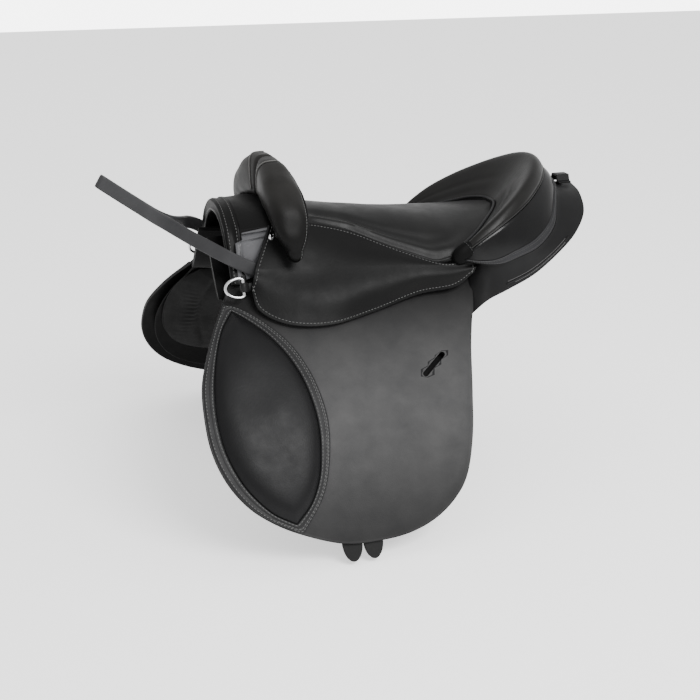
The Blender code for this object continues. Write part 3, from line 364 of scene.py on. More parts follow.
def carried_frames(path, closed=False):
    """Two directions square to the path, carried along it with the least twist."""
    slope = unit(np.gradient(path, axis=0))
    if closed:
        slope = unit(np.roll(path, -1, 0) - np.roll(path, 1, 0))
    side = np.zeros_like(path)
    start = np.cross(slope[0], (0, 0, 1.0))
    side[0] = unit(start if np.linalg.norm(start) > 0.1 else np.cross(slope[0], (0, 1.0, 0)))
    for k in range(1, len(path)):
        side[k] = unit(side[k - 1] - slope[k] * (side[k - 1] @ slope[k]))
    return side, np.cross(slope, side)


CORD_TIP = 0.55


def piping(name, path, radius, finish, body, stands_for=(), sides=10, closed=False):
    """A round cord of leather along the path: a circle carried along it, drawn in at open ends."""
    path = np.asarray(path, float)
    a, b = carried_frames(path, closed)
    turn = full_turn(sides)[None, :, None]
    circle = (np.cos(turn) * a[:, None] + np.sin(turn) * b[:, None]) * radius
    rings = path[:, None] + circle
    if closed:
        return looped(name, rings, finish, body, stands_for)
    first = path[0] - unit(path[1] - path[0]) * radius * 0.5 + circle[0] * CORD_TIP
    last = path[-1] + unit(path[-1] - path[-2]) * radius * 0.5 + circle[-1] * CORD_TIP
    return ring_solid(name, [first, *rings, last], finish, body, stands_for, 60)


print("tools ready")

# %% [markdown]
# ## Finishes
# Black saddle leather is not one black. Its top coat gives a soft, wide highlight; under that
# lie pores about a millimetre apart, faint wrinkles, and paler clouds where the dye sits
# thinner. All of these read Object coordinates, which are metres on the saddle, so the grain has
# the same real size on every piece. The mark `edge`, which the tools above store, is one plus
# the distance from a leather's rim, and darkens the burnished cut edge; where there is no such
# mark it reads nought, and nothing is darkened. The mark `under` is one on a hide's flesh side,
# the side toward the pony, whose near-black, dull colour is painted shade. The flaps and the
# pommel blocks also carry painted light and shade by height, and the seat's top is a lighter
# copy of its leather, painted light.

# %% Leather
FINISHES = {}
SLOTS = {}
# The flesh side is real, but its near-black colour and dull sheen are painted shade, for the shadowed inside of the
# flaps.
FLESH_PAINTED_SHADE = (0.0012, 0.0012, 0.0012)
FLESH_PAINTED_SHADE_SHINE = 0.04
BURNISHED = (0.005, 0.005, 0.0055)
RIM_FADE = 0.0009
PORE, PORE_DEPTH = 0.0011, 0.00007
COAT_ROUGH = 0.28


def new_finish(name, slot=None):
    """A new material: its shader's inputs, the Object coordinates and its node tree."""
    material = bpy.data.materials.new(name)
    material.use_nodes = True
    FINISHES[name], SLOTS[name] = material, slot
    tree = material.node_tree
    coords = tree.nodes.new("ShaderNodeTexCoord").outputs["Object"]
    return tree.nodes["Principled BSDF"].inputs, coords, tree


def noise(tree, coords, scale, detail=3.0, rough=0.55, stretch=None):
    """Layered noise on the given coordinates, `scale` lumps to the metre."""
    node = tree.nodes.new("ShaderNodeTexNoise")
    for socket, number in (("Scale", scale), ("Detail", detail), ("Roughness", rough)):
        node.inputs[socket].default_value = number
    if stretch is not None:
        mapping = tree.nodes.new("ShaderNodeMapping")
        mapping.inputs["Scale"].default_value = stretch
        tree.links.new(coords, mapping.inputs["Vector"])
        coords = mapping.outputs["Vector"]
    tree.links.new(coords, node.inputs["Vector"])
    return node.outputs["Fac"]


def remap(tree, value, low, high, to_low, to_high):
    """Take a value from one range into another, clamped."""
    node = tree.nodes.new("ShaderNodeMapRange")
    for socket, number in zip(("From Min", "From Max", "To Min", "To Max"),
                              (low, high, to_low, to_high)):
        node.inputs[socket].default_value = number
    tree.links.new(value, node.inputs["Value"])
    return node.outputs["Result"]


def product(tree, first, second):
    """Multiply two values."""
    node = tree.nodes.new("ShaderNodeMath")
    node.operation = "MULTIPLY"
    tree.links.new(first, node.inputs[0])
    tree.links.new(second, node.inputs[1])
    return node.outputs[0]


def mark(tree, name):
    """Read a mark that the mesh carries at its points."""
    node = tree.nodes.new("ShaderNodeAttribute")
    node.attribute_name = name
    return node.outputs["Fac"]


def mixed(tree, factor, first, second):
    """Mix two colours, each a tuple or a socket, by a factor socket."""
    node = tree.nodes.new("ShaderNodeMix")
    node.data_type = "RGBA"
    tree.links.new(factor, node.inputs["Factor"])
    for socket, colour in zip(("A", "B"), (first, second)):
        target = [s for s in node.inputs if s.name == socket and s.type == "RGBA"][0]
        if isinstance(colour, tuple):
            target.default_value = (*colour, 1.0)
        else:
            tree.links.new(colour, target)
    return [s for s in node.outputs if s.type == "RGBA"][0]


def bump(tree, height, depth, after=None):
    """Tilt the shading normal by a height map whose full swing is `depth` metres."""
    node = tree.nodes.new("ShaderNodeBump")
    node.inputs["Strength"].default_value = 1.0
    node.inputs["Distance"].default_value = depth
    tree.links.new(height, node.inputs["Height"])
    if after is not None:
        tree.links.new(after, node.inputs["Normal"])
    return node.outputs["Normal"]


def painted_shading_by_height(tree, coords, colour, stops):
    """Painted light and shade: the colour times a share by height, from (height, share) stops."""
    low, high = stops[0][0], stops[-1][0]
    split = tree.nodes.new("ShaderNodeSeparateXYZ")
    tree.links.new(coords, split.inputs["Vector"])
    ramp = tree.nodes.new("ShaderNodeValToRGB")
    ramp.color_ramp.interpolation = "B_SPLINE"
    while len(ramp.color_ramp.elements) < len(stops):
        ramp.color_ramp.elements.new(0.5)
    for element, (height, share) in zip(ramp.color_ramp.elements, stops):
        element.position = (height - low) / (high - low)
        element.color = (share, share, share, 1.0)
    tree.links.new(remap(tree, split.outputs["Z"], low, high, 0, 1), ramp.inputs["Fac"])
    return mixed(tree, ramp.outputs["Color"], (0.0, 0.0, 0.0), colour)


def leather_finish(name, slot, dark, light, rough, shine, wrinkle_depth=0.00012, coat=0.0,
                   edge=BURNISHED, fade=None):
    """Dyed leather: cloudy colour between dark and light, pores,
    fine wrinkles and a burnished rim; `fade` paints light and shade by height, and the flesh
    side is painted near black and dull, as shade."""
    into, coords, tree = new_finish(name, slot)
    clouds = remap(tree, noise(tree, coords, 22, 5, 0.6), 0.32, 0.68, 0.0, 1.0)
    colour = mixed(tree, clouds, dark, light)
    # Painted light and shade: the colour scaled by the height stops in `fade`.
    if fade:
        colour = painted_shading_by_height(tree, coords, colour, fade)
    distance, under = mark(tree, "edge"), mark(tree, "under")
    rim = remap(tree, distance, EDGE_MARK, EDGE_MARK + RIM_FADE, 1.0, 0.0)
    has_rim = remap(tree, distance, 0.4, 0.6, 0.0, 1.0)
    burnished = mixed(tree, product(tree, rim, has_rim), colour, edge)
    patches = noise(tree, coords, 55, 4, 0.6)
    cells = tree.nodes.new("ShaderNodeTexVoronoi")
    cells.feature = "SMOOTH_F1"
    cells.inputs["Scale"].default_value = 1 / PORE
    tree.links.new(coords, cells.inputs["Vector"])
    pores = bump(tree, cells.outputs["Distance"], PORE_DEPTH)
    wrinkles = noise(tree, coords, 260, 6, 0.62)
    # The flesh side (mark `under`) gets the near-black colour and low sheen of painted shade.
    for value, socket in ((mixed(tree, under, burnished, FLESH_PAINTED_SHADE), "Base Color"),
                          (remap(tree, under, 0, 1, shine, FLESH_PAINTED_SHADE_SHINE), "Specular IOR Level"),
                          (remap(tree, patches, 0.3, 0.7, rough - 0.05, rough + 0.06), "Roughness"),
                          (bump(tree, wrinkles, wrinkle_depth, pores), "Normal")):
        tree.links.new(value, into[socket])
    into["Coat Weight"].default_value = coat
    into["Coat Roughness"].default_value = COAT_ROUGH


# Painted light and shade on the flaps, as colour shares by height: dark at the top under the skirt, brightest across
# the middle, darker again towards the foot.
FLAP_PAINTED_SHADING = (
    (-0.245, 0.32), (-0.205, 0.42), (-0.16, 0.62), (-0.11, 0.96), (-0.06, 0.92), (-0.025, 0.5),
    (0.01, 0.08),
)
# Painted light and shade on the pommel blocks, as colour shares by height: dark low down, full tone on top where the
# overhead light falls.
BLOCK_PAINTED_SHADING = ((0.05, 0.1), (0.085, 0.12), (0.11, 0.3), (0.125, 0.8), (0.14, 1.0), (0.165, 1.0))
LEATHERS = (
    ("seat_leather", "smooth_leather",
     (0.0022, 0.0022, 0.0023), (0.0033, 0.0033, 0.0032), 0.46, 0.1),
    # The seat's top: a lighter copy of seat_leather, painted light where the crown faces up to the lamps.
    ("crown_leather", "smooth_leather",
     (0.0042, 0.0042, 0.0043), (0.006, 0.006, 0.0058), 0.4, 0.16),
    ("flap_hide", "flap_leather",
     (0.037, 0.037, 0.0375), (0.052, 0.0515, 0.0515), 0.5, 0.11,
     {"wrinkle_depth": 0.00016, "fade": FLAP_PAINTED_SHADING}),
    ("knee_hide", "pad_leather",
     (0.0042, 0.0042, 0.0045), (0.006, 0.006, 0.0064), 0.42, 0.12),
    ("border_hide", "smooth_leather",
     (0.0083, 0.0083, 0.0086), (0.0125, 0.0125, 0.0128), 0.45, 0.16),
    ("cantle_hide", "pad_leather",
     (0.0048, 0.0046, 0.0044), (0.0068, 0.0066, 0.0062), 0.34, 0.15),
    ("polished_hide", "wall_leather",
     (0.0009, 0.0009, 0.001), (0.0016, 0.0016, 0.0018), 0.2, 0.15, {"coat": 0.09}),
    ("block_hide", "pad_leather",
     (0.011, 0.0106, 0.01), (0.017, 0.0163, 0.0154), 0.45, 0.1, {"fade": BLOCK_PAINTED_SHADING}),
    ("patch_hide", "pad_leather",
     (0.06, 0.06, 0.0635), (0.088, 0.088, 0.093), 0.26, 0.2, {"coat": 0.15}),
    ("strap_hide", "strap_leather",
     (0.021, 0.021, 0.022), (0.031, 0.031, 0.0325), 0.46, 0.16),
    ("rear_hide", "smooth_leather",
     (0.0034, 0.0034, 0.0036), (0.0056, 0.0056, 0.0058), 0.44, 0.12),
    ("girth_hide", "strap_leather",
     (0.005, 0.005, 0.0052), (0.0085, 0.0084, 0.0084), 0.5, 0.14),
    # The lining's rim takes the flesh side's painted-shade colour.
    ("lining_hide", "panel_leather",
     (0.0015, 0.0015, 0.0015), (0.0024, 0.0024, 0.0024), 0.58, 0.06, {"wrinkle_depth": 0.00022, "edge": FLESH_PAINTED_SHADE}),
    ("band_hide", "smooth_leather",
     (0.011, 0.011, 0.012), (0.017, 0.017, 0.0185), 0.36, 0.2),
    ("piping_hide", "smooth_leather",
     (0.011, 0.0108, 0.0105), (0.016, 0.0156, 0.0152), 0.38, 0.16),
    ("cleft_hide", "smooth_leather",
     (0.065, 0.064, 0.062), (0.085, 0.083, 0.08), 0.36, 0.24),
)
for row in LEATHERS:
    leather_finish(*row[:6], **(row[6] if len(row) > 6 else {}))
print("leathers:", sorted(FINISHES))

# %% [markdown]
# ## Thread, metal and the hidden materials
# The thread is a waxed grey linen. The ring and nails are chrome plate with faint polishing
# marks, and the forged bars inside are brushed steel. The tree is laminated wood, and the foam
# and webbing are only seen from under the saddle or when a flap is lifted.

# %% Thread and metal


def plain_finish(name, slot, first, second, scale, rough, metallic=0.0, depth=0.0, stretch=None,
                 detail=4.0):
    """A finish of two colours mixed by one noise, with roughness and bump from the same noise."""
    into, coords, tree = new_finish(name, slot)
    pattern = noise(tree, coords, scale, detail, 0.6, stretch)
    tree.links.new(mixed(tree, remap(tree, pattern, 0.3, 0.7, 0, 1), first, second),
                   into["Base Color"])
    tree.links.new(remap(tree, pattern, 0.3, 0.7, rough - 0.03, rough + 0.05), into["Roughness"])
    into["Metallic"].default_value = metallic
    if depth:
        tree.links.new(bump(tree, pattern, depth), into["Normal"])


for row in (
    ("thread", "smooth_leather",
     (0.058, 0.058, 0.058), (0.095, 0.095, 0.093), 1800, 0.62, 0.0, 0.00008),
    ("dark_thread", "smooth_leather",
     (0.01, 0.01, 0.0105), (0.018, 0.018, 0.018), 1800, 0.55, 0.0, 0.00008),
    ("chrome_plate", "chrome",
     (0.5, 0.5, 0.51), (0.6, 0.6, 0.61), 300, 0.13, 1.0, 0.00001),
    ("forged_steel", "steel",
     (0.34, 0.34, 0.35), (0.5, 0.5, 0.51), 140, 0.36, 1.0, 0.00003, (1, 6, 6)),
    ("beech", "tree_board",
     (0.09, 0.052, 0.026), (0.16, 0.098, 0.052), 26, 0.5, 0.0, 0.0001, (1, 9, 9), 8.0),
    ("seat_foam_fill", "foam",
     (0.42, 0.37, 0.26), (0.58, 0.53, 0.4), 520, 0.92, 0.0, 0.0005),
):
    plain_finish(*row)

WAVE_SCALE = 0.314
WEAVE_DEPTH = 0.0004


def woven_finish(name, slot, first, second, pitch):
    """A weave: two sets of waves square to each other, one along X and one along Z, multiplied."""
    into, coords, tree = new_finish(name, slot)
    bands = []
    for direction in ("X", "Z"):
        wave = tree.nodes.new("ShaderNodeTexWave")
        wave.wave_type, wave.bands_direction = "BANDS", direction
        wave.inputs["Scale"].default_value = WAVE_SCALE / pitch
        tree.links.new(coords, wave.inputs["Vector"])
        bands.append(wave.outputs["Fac"])
    weave = product(tree, *bands)
    tree.links.new(mixed(tree, weave, first, second), into["Base Color"])
    tree.links.new(bump(tree, weave, WEAVE_DEPTH), into["Normal"])
    tree.links.new(remap(tree, weave, 0, 1, 0.95, 0.82), into["Roughness"])


woven_finish("flax_web", "webbing", (0.016, 0.016, 0.017), (0.036, 0.036, 0.038), 0.0022)

# %% Finish the solids that stay in view
KEPT = {
    "beech": ("tree", "tree_head", "cantle_board"),
    "forged_steel": ("head_plate", "stirrup_bar_left", "stirrup_bar_right", "bar_catch_left",
                     "bar_catch_right"),
    "flax_web": ("seat_webbing", "girth_webbing_left", "girth_webbing_right"),
    "seat_foam_fill": ("seat_foam",),
    "lining_hide": ("gullet_lining",),
}


def finish_solids():
    """Give each solid that stays in view its one material."""
    for finish, names in KEPT.items():
        for name in names:
            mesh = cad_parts[name].data
            mesh.materials.clear()
            mesh.materials.append(FINISHES[finish])


finish_solids()

# %% [markdown]
# ## The barrel that the leathers hang round
# The flaps, sweat flaps and girth straps all follow one curved profile: it leans out from the
# gullet, is flattest over the ribs and drops to nearly upright at the knee. A leather is drawn
# flat, as a saddler cuts it, with `x` along the saddle and `s` down the side, and then bent
# round this profile at its own distance out.

# %% Barrel profile
BARREL_START = (0.09, 0.01)
BARREL_DOWN = (-0.12, -0.03, 0.03, 0.36)
BARREL_LEAN = (36, 40, 51, 20)


def barrel_profile():
    """Walk down the profile, adding the sine and cosine of its lean: tables of s, y, z and lean."""
    s = np.linspace(BARREL_DOWN[0], BARREL_DOWN[-1], 481)
    lean = np.radians(np.interp(s, BARREL_DOWN, BARREL_LEAN))
    mean = (lean[1:] + lean[:-1]) / 2
    step = s[1] - s[0]
    y = np.concatenate([[0], np.cumsum(np.sin(mean) * step)])
    z = -np.concatenate([[0], np.cumsum(np.cos(mean) * step)])
    y, z = (v + start - np.interp(0, s, v) for v, start in zip((y, z), BARREL_START))
    return s, y, z, lean


BARREL = barrel_profile()


def on_barrel(x, s, d, side):
    """The point at x along, s down and d out from the profile. side is -1 near, 1 far."""
    lean = np.interp(s, BARREL[0], BARREL[3])
    y = np.interp(s, BARREL[0], BARREL[1]) + d * np.cos(lean)
    z = np.interp(s, BARREL[0], BARREL[2]) + d * np.sin(lean)
    return np.stack([x + 0 * y, side * y, z], -1)


def barrel_normal(s, side):
    """Square to the profile at s, pointing out: the cosine and sine of its lean."""
    lean = np.interp(s, BARREL[0], BARREL[3])
    return np.stack([0 * lean, side * np.cos(lean), np.sin(lean)], -1)


def grown(outline, amount):
    """A closed flat outline moved outward by an amount, along its own normals."""
    run = unit(np.roll(outline, -1, 0) - np.roll(outline, 1, 0))
    area = np.sum(outline[:, 0] * np.roll(outline[:, 1], -1)
                  - np.roll(outline[:, 0], -1) * outline[:, 1])
    return outline + np.stack([run[:, 1], -run[:, 0]], -1) * amount * np.sign(area)


def closed_even(points, step):
    """A closed outline resampled evenly, with no point twice."""
    points = np.asarray(points, float)
    return even(np.vstack([points, points[:1]]), step)[:-1]


def swell_at(x, s, waves):
    """Slow waves of a hide that has hung a while: two crossed sines of the place on the pattern."""
    return waves * (np.sin(31 * x + 17 * s) + 0.6 * np.sin(53 * x - 41 * s + 1.3))


RING_PLACE = (-0.172, 0.004)
RING_SPREAD = (0.018, 0.015)
HIDE_INSIDE = 0.02


def ring_hollow(x, s):
    """A round hollow of full depth one, where the D-ring's wire lies over the flap."""
    along, down = (x - RING_PLACE[0]) / RING_SPREAD[0], (s - RING_PLACE[1]) / RING_SPREAD[1]
    return np.exp(-(along**2) - down**2)


def hide(name, outline, middle, d, thick, side, finish, body, stands_for=(), lip=0.0009,
         crease=0.00035, waves=0.0004, inner=10, dip=0.0):
    """A flat leather bent round the barrel: rings from its middle to
    the rim, over it, and back underneath."""
    near = np.array((0, 0.12, 0.42, 1.0, 1.7, CREASE_IN / lip, 4.4)) * lip
    rims = [grown(outline, -e) for e in near]
    steps = 1 - np.linspace(0, 1, inner + 1)[1:-1]
    flat = rims + [middle + (rims[-1] - middle) * k for k in steps]
    distance = np.concatenate([near, [HIDE_INSIDE] * len(steps)])
    drop = edge_drop(distance, lip)
    pressed = crease * bell(distance - CREASE_IN, CREASE_WIDE)
    rings, marks, under = [], [], []
    outward, inward = range(len(flat) - 1, -1, -1), range(len(flat))
    for order, heights, flesh in ((outward, drop, 1), (inward, thick - drop - pressed, 0)):
        for k in order:
            x, s = flat[k][:, 0], flat[k][:, 1]
            high = d + heights[k] + swell_at(x, s, waves) - dip * ring_hollow(x, s)
            rings.append(on_barrel(x, s, high, side))
            marks.append(np.full(len(x), EDGE_MARK + distance[k]))
            # The flesh side, toward the pony, is marked for the finish's near-black painted shade.
            under.append(np.full(len(x), flesh * float(distance[k] > lip)))
    return ring_solid(name, rings, finish, body, stands_for, marks={"edge": marks, "under": under})


def barrel_row(flat, d, side, waves=0.0):
    """A line drawn on the flat pattern, as points and normals on the bent leather."""
    flat = even(flat, 0.0015)
    x, s = flat[:, 0], flat[:, 1]
    return on_barrel(x, s, d + swell_at(x, s, waves), side), barrel_normal(s, side)


print("barrel runs from", BARREL[0][0], "to", BARREL[0][-1])

# %% [markdown]
# ## Flaps
# The flap is the largest leather: a broad shape cut from butt hide, about 3.5 mm thick, with a
# rounded edge and a crease line pressed beside it. It is one piece with the strip that is
# screwed to the tree under the skirt. A slot for the girth buckle keeper is cut through it.

# %% Flap outline
FLAP_T = 0.0035
FLAP_WAVES = 0.00035
RING_ROOM = 0.0026
FLAP_EDGE = (
    (-0.189, 0.003), (-0.206, 0.037), (-0.22, 0.069), (-0.232, 0.104), (-0.236, 0.14),
    (-0.235, 0.177), (-0.226, 0.21), (-0.21, 0.238), (-0.188, 0.26), (-0.154, 0.281), (-0.104, 0.3),
    (-0.056, 0.303), (-0.02, 0.299), (0.012, 0.287), (0.038, 0.268), (0.056, 0.244), (0.072, 0.2),
    (0.084, 0.15), (0.096, 0.1), (0.108, 0.063), (0.117, 0.04), (0.1225, 0.02), (0.124, 0.003),
)
FLAP_HEAD = ((0.12, -0.012), (0.108, -0.032), (-0.03, -0.04), (-0.104, -0.038), (-0.172, -0.03))
SLOT = ((0.031, 0.122), (0.058, 0.1))
SLOT_WIDE = 0.0066
SLOT_BAR = (-0.003, 0.0018, 0.007)
FLAP_MIDDLE = np.array((-0.055, 0.125))


def cut_slot(obj, side):
    """Cut the slot with a round-ended bar."""
    a, b = np.array(SLOT)
    run = unit(b - a)
    across = np.array((-run[1], run[0]))
    half = SLOT_WIDE / 2
    turn = np.linspace(-math.pi / 2, math.pi / 2, 9)
    outline = np.array([end + (run * math.cos(t) + across * math.sin(t)) * half * way
                        for end, way in ((b, 1), (a, -1)) for t in turn])
    rings = [on_barrel(outline[:, 0], outline[:, 1], h, side) for h in SLOT_BAR]
    plain = {"edge": np.full((3, len(outline)), EDGE_MARK + HIDE_INSIDE),
             "under": np.zeros((3, len(outline)))}
    cut_away(obj, ring_solid("slot_bar", rings, "flap_hide", None, marks=plain))
    obj.data.shade_smooth()
    obj.data.set_sharp_from_angle(angle=math.radians(50))


# %% Make both flaps
def make_flaps():
    """Bend both flaps round the barrel and cut the slot through each."""
    outline = closed_even(np.vstack([spline(FLAP_EDGE, 200), FLAP_HEAD]), 0.004)
    for label, side in SIDES:
        flap = hide(f"flap_hide_{label}", outline, FLAP_MIDDLE, 0.0, FLAP_T, side, "flap_hide",
                    None, waves=FLAP_WAVES, inner=16, dip=RING_ROOM)
        cut_slot(flap, side)
        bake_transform(flap)
        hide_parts(f"flap_{label}", f"flap_top_{label}")
        print(flap.name, len(flap.data.polygons), "faces")


make_flaps()

# %% [markdown]
# ## Knee pads and their borders
# In front of the rider's knee a leaf-shaped pad is stuffed between the flap and a soft cover.
# A flat border leather is sewn over its rim with rows of pale thread, so the pad seems to rise
# out of a frame. The pad is a crowned form that dives steeply under the border.

# %% Pad and border outlines
PAD_TIPS = ((-0.18, 0.014), (-0.154, 0.271))
PAD_FRONT = (
    (-0.197, 0.04), (-0.21, 0.074), (-0.219, 0.111), (-0.2225, 0.145), (-0.22, 0.179),
    (-0.211, 0.209), (-0.198, 0.233), (-0.178, 0.256),
)
PAD_REAR = (
    (-0.134, 0.251), (-0.121, 0.226), (-0.114, 0.198), (-0.1105, 0.168), (-0.112, 0.138),
    (-0.118, 0.107), (-0.129, 0.078), (-0.145, 0.051), (-0.164, 0.029),
)
BORDER_REAR = (
    (-0.148, 0.283), (-0.12, 0.247), (-0.106, 0.212), (-0.098, 0.17), (-0.099, 0.135),
    (-0.107, 0.098), (-0.122, 0.063), (-0.145, 0.033), (-0.168, 0.012), (-0.183, 0.005),
)
PAD_MIDDLE = np.array((-0.163, 0.145))
PAD_LEVEL = FLAP_T + 0.0004
PAD_CROWN = 0.01
BORDER_T = 0.0017


def by_angle(outline, middle, angles):
    """The outline's point in each direction from the middle."""
    rel = closed_even(outline, 0.0006) - middle
    at = np.arctan2(rel[:, 1], rel[:, 0])
    order = np.argsort(at)
    reach = np.interp(angles, at[order], np.hypot(*rel.T)[order], period=2 * math.pi)
    return middle + np.stack([np.cos(angles), np.sin(angles)], -1) * reach[:, None]


def pad_shapes():
    """Pad rim and border rim sampled in the same directions, spaced evenly along the rim."""
    rim = np.vstack([spline((PAD_TIPS[0], *PAD_FRONT, PAD_TIPS[1]), 120),
                     spline((PAD_TIPS[1], *PAD_REAR, PAD_TIPS[0]), 120)[1:-1]])
    border = np.vstack([spline(FLAP_EDGE[:10], 120) + (0.0015, 0), spline(BORDER_REAR, 120)])
    rel = closed_even(rim, 0.0022) - PAD_MIDDLE
    angles = np.sort(np.arctan2(rel[:, 1], rel[:, 0]))
    return by_angle(rim, PAD_MIDDLE, angles), by_angle(border, PAD_MIDDLE, angles)


def rim_distance(flat, rim):
    """Soft distance from each point to the rim: a power mean of
    its distances to every rim point."""
    d = np.linalg.norm(flat[:, None] - rim[None], axis=2)
    return np.mean((d + 1e-5) ** -6.0, axis=1) ** (-1 / 6.0) * len(rim) ** (-1 / 6.0) * 1.55


def knee_pad(label, side, rim):
    """Rings from the pad's rim to its crown: the height rises with
    the distance in, then levels off."""
    shares = np.concatenate([[1.0, 0.985, 0.965, 0.94, 0.91], np.linspace(0.87, 0.02, 30)])
    rings = [on_barrel(*(PAD_MIDDLE + (rim - PAD_MIDDLE) * k).T, PAD_LEVEL, side)
             for k in (0.3, 0.7, 0.96, 1.0)]
    for k in shares:
        flat = PAD_MIDDLE + (rim - PAD_MIDDLE) * k
        x, s = flat.T
        inside = np.clip(rim_distance(flat, rim) / 0.036, 0, 1)
        crown = 0.0012 + (PAD_CROWN - 0.0012) * (1 - (1 - inside) ** 2.4) ** 0.62 * (1 - k**30)
        soft = 0.0004 * np.sin(70 * s + 20 * x) * (1 - k) * 2 + 0.0003 * np.sin(120 * x - 35 * s)
        rings.append(on_barrel(x, s, PAD_LEVEL + crown + soft * (1 - k**6), side))
    pad = ring_solid(f"knee_pad_hide_{label}", rings, "knee_hide", f"flap_{label}",
                     [f"knee_pad_{label}"], 60)


def border_profile(f):
    """Height over the flap across the border, from its inner rim at 0 to its outer rim at 1."""
    soft = np.clip(np.minimum(f, 1 - f) / 0.14, 0, 1)
    return BORDER_T * np.sqrt(1 - (1 - soft) ** 2) - 0.00045 * bell(f - 0.5, 0.06)


BORDER_SHARES = (
    0, 0.01, 0.04, 0.09, 0.14, 0.25, 0.36, 0.44, 0.5, 0.56, 0.64, 0.75, 0.86, 0.91, 0.96, 0.99, 1,
)


def knee_border(label, side, rim, outer):
    """A flat ring of leather between the pad and the flap's edge, grooved along its middle."""
    inner = rim + unit(rim - PAD_MIDDLE) * 0.0004
    line = lambda f: inner + (outer - inner) * f
    levels = [(f, PAD_LEVEL + border_profile(f)) for f in BORDER_SHARES]
    levels += [(f, PAD_LEVEL - 0.0002) for f in (1.0, 0.0)]
    rings = [on_barrel(*line(f).T, high, side) for f, high in levels]
    looped(f"knee_border_hide_{label}", rings, "border_hide", f"flap_{label}",
           [f"knee_border_{label}"])
    rear = (outer[:, 0] > PAD_MIDDLE[0] - 0.012) & (outer[:, 1] > 0.012)
    start = int(np.argmax(rear & ~np.roll(rear, 1)))
    run = [(start + k) % len(outer) for k in range(int(rear.sum()))]
    rows = [barrel_row(np.vstack([line(f), line(f)[:1]]), PAD_LEVEL + border_profile(f), side)
            for f in (0.2, 0.8)]
    rows.append(barrel_row(line(0.62)[run], PAD_LEVEL + border_profile(0.62), side))
    thread(f"border_thread_{label}", rows, f"flap_{label}")


# %% Make both knee pads
PAD_RIM, BORDER_RIM = pad_shapes()
for label, side in SIDES:
    knee_pad(label, side, PAD_RIM)
    knee_border(label, side, PAD_RIM, BORDER_RIM)

# %% [markdown]
# ## Under the flaps
# The girth straps hang between the flap and the sweat flap. They are cut to a point and punched
# with holes 25 mm apart. The sweat flap is a plain lining leather, and the panel behind it is
# a wool-stuffed cushion that lies against the pony, its cover drawn into shallow gathers at the
# front and sewn along two curved seams.

# %% Girth straps
BILLET_T = 0.004
BILLET_D = -0.0011 - BILLET_T
BILLET_W = 0.0235
BILLET_X = (-0.0925, -0.068)
BILLET_TOP = -0.03
BILLET_TIP = 0.322
HOLE_PITCH = 0.025
HOLE_R = 0.0026


HOLES = 8
HOLE_SIDES = 14
HOLE_FIRST = 0.045
HOLE_DEEP = 0.006


def strap_grid(mid, side, d):
    """Rows down the strap and columns across: near the tip the
    half width follows a quarter ellipse."""
    down = BILLET_TOP + ticks(BILLET_TIP - BILLET_TOP, 0.0035, 0.0008) * (BILLET_TIP - BILLET_TOP)
    across = ticks(BILLET_W, 0.0025, 0.0008) * 2 - 1
    up = np.clip((BILLET_TIP - down) / 0.022, 0.0004, 1)
    half = BILLET_W / 2 * np.sqrt(1 - (1 - up) ** 2)
    x = mid + half[:, None] * across[None, :]
    return on_barrel(x, np.broadcast_to(down[:, None], x.shape), d, side)


def punch(obj, points, normals, radius, depth):
    """Punch round holes through a leather at the points, with round bars."""
    turn = full_turn(HOLE_SIDES)[:, None]
    verts, faces, caps = [], [], []
    for k, (p, n) in enumerate(zip(points, normals)):
        a = unit(np.cross(n, (1.0, 0, 0)))
        ring = p + (np.cos(turn) * a + np.sin(turn) * np.cross(n, a)) * radius
        verts.append(np.vstack([ring - n * depth, ring + n * depth]))
        first = k * 2 * HOLE_SIDES
        faces.append(quads(2, HOLE_SIDES, wrap_columns=True) + first)
        caps.append((tuple(range(first + HOLE_SIDES - 1, first - 1, -1)),
                     tuple(range(first + HOLE_SIDES, first + 2 * HOLE_SIDES))))
    bars = bpy.data.meshes.new("punch")
    caps = [low for low, _ in caps] + [high for _, high in caps]
    bars.from_pydata(np.vstack(verts).tolist(), [], np.vstack(faces).tolist() + caps)
    tool = bpy.data.objects.new("punch", bars)
    bpy.context.scene.collection.objects.link(tool)
    cut_away(obj, tool)
    obj.data.set_sharp_from_angle(angle=math.radians(40))


# %% Make the girth straps
def make_girth_straps():
    """Two straps a side, each punched with a row of holes and sewn along both edges at its top."""
    for label, side in SIDES:
        body = f"girth_straps_{label}"
        rows = []
        for place, mid in zip(("front", "rear"), BILLET_X):
            grid = strap_grid(mid, side, BILLET_D + BILLET_T)
            strap = slab(f"girth_strap_hide_{place}_{label}", grid, BILLET_T, (0, side, 0.5),
                         "girth_hide", body,
                         [f"girth_strap_{place}_{label}"], lip=0.0009, crease=0.0003)
            s = BILLET_TIP - HOLE_FIRST - np.arange(HOLES) * HOLE_PITCH
            middle = on_barrel(mid, s, BILLET_D + BILLET_T / 2, side)
            punch(strap, middle, barrel_normal(s, side), HOLE_R, HOLE_DEEP)
            for edge in (-1, 1):
                line = np.array([(mid + edge * (BILLET_W / 2 - 0.003), s)
                                 for s in np.linspace(-0.02, 0.08, 30)])
                rows.append(barrel_row(line, BILLET_D + BILLET_T, side))
        thread(f"girth_thread_{label}", rows, body)


make_girth_straps()

# %% Sweat flaps and webbing
SWEAT_T = 0.0025
WEB_T = 0.0008
WEB_D = BILLET_D - 0.0004 - WEB_T
SWEAT_D = WEB_D - 0.0004 - SWEAT_T
PANEL_D = SWEAT_D - 0.0006
SWEAT_EDGE = (
    (-0.176, -0.03), (-0.19, 0.01), (-0.204, 0.05), (-0.216, 0.1), (-0.22, 0.145), (-0.214, 0.19),
    (-0.196, 0.228), (-0.165, 0.254), (-0.12, 0.27), (-0.05, 0.272), (0.002, 0.258), (0.034, 0.232),
    (0.052, 0.19), (0.066, 0.125), (0.088, 0.055), (0.1, 0.000), (0.096, -0.032),
)


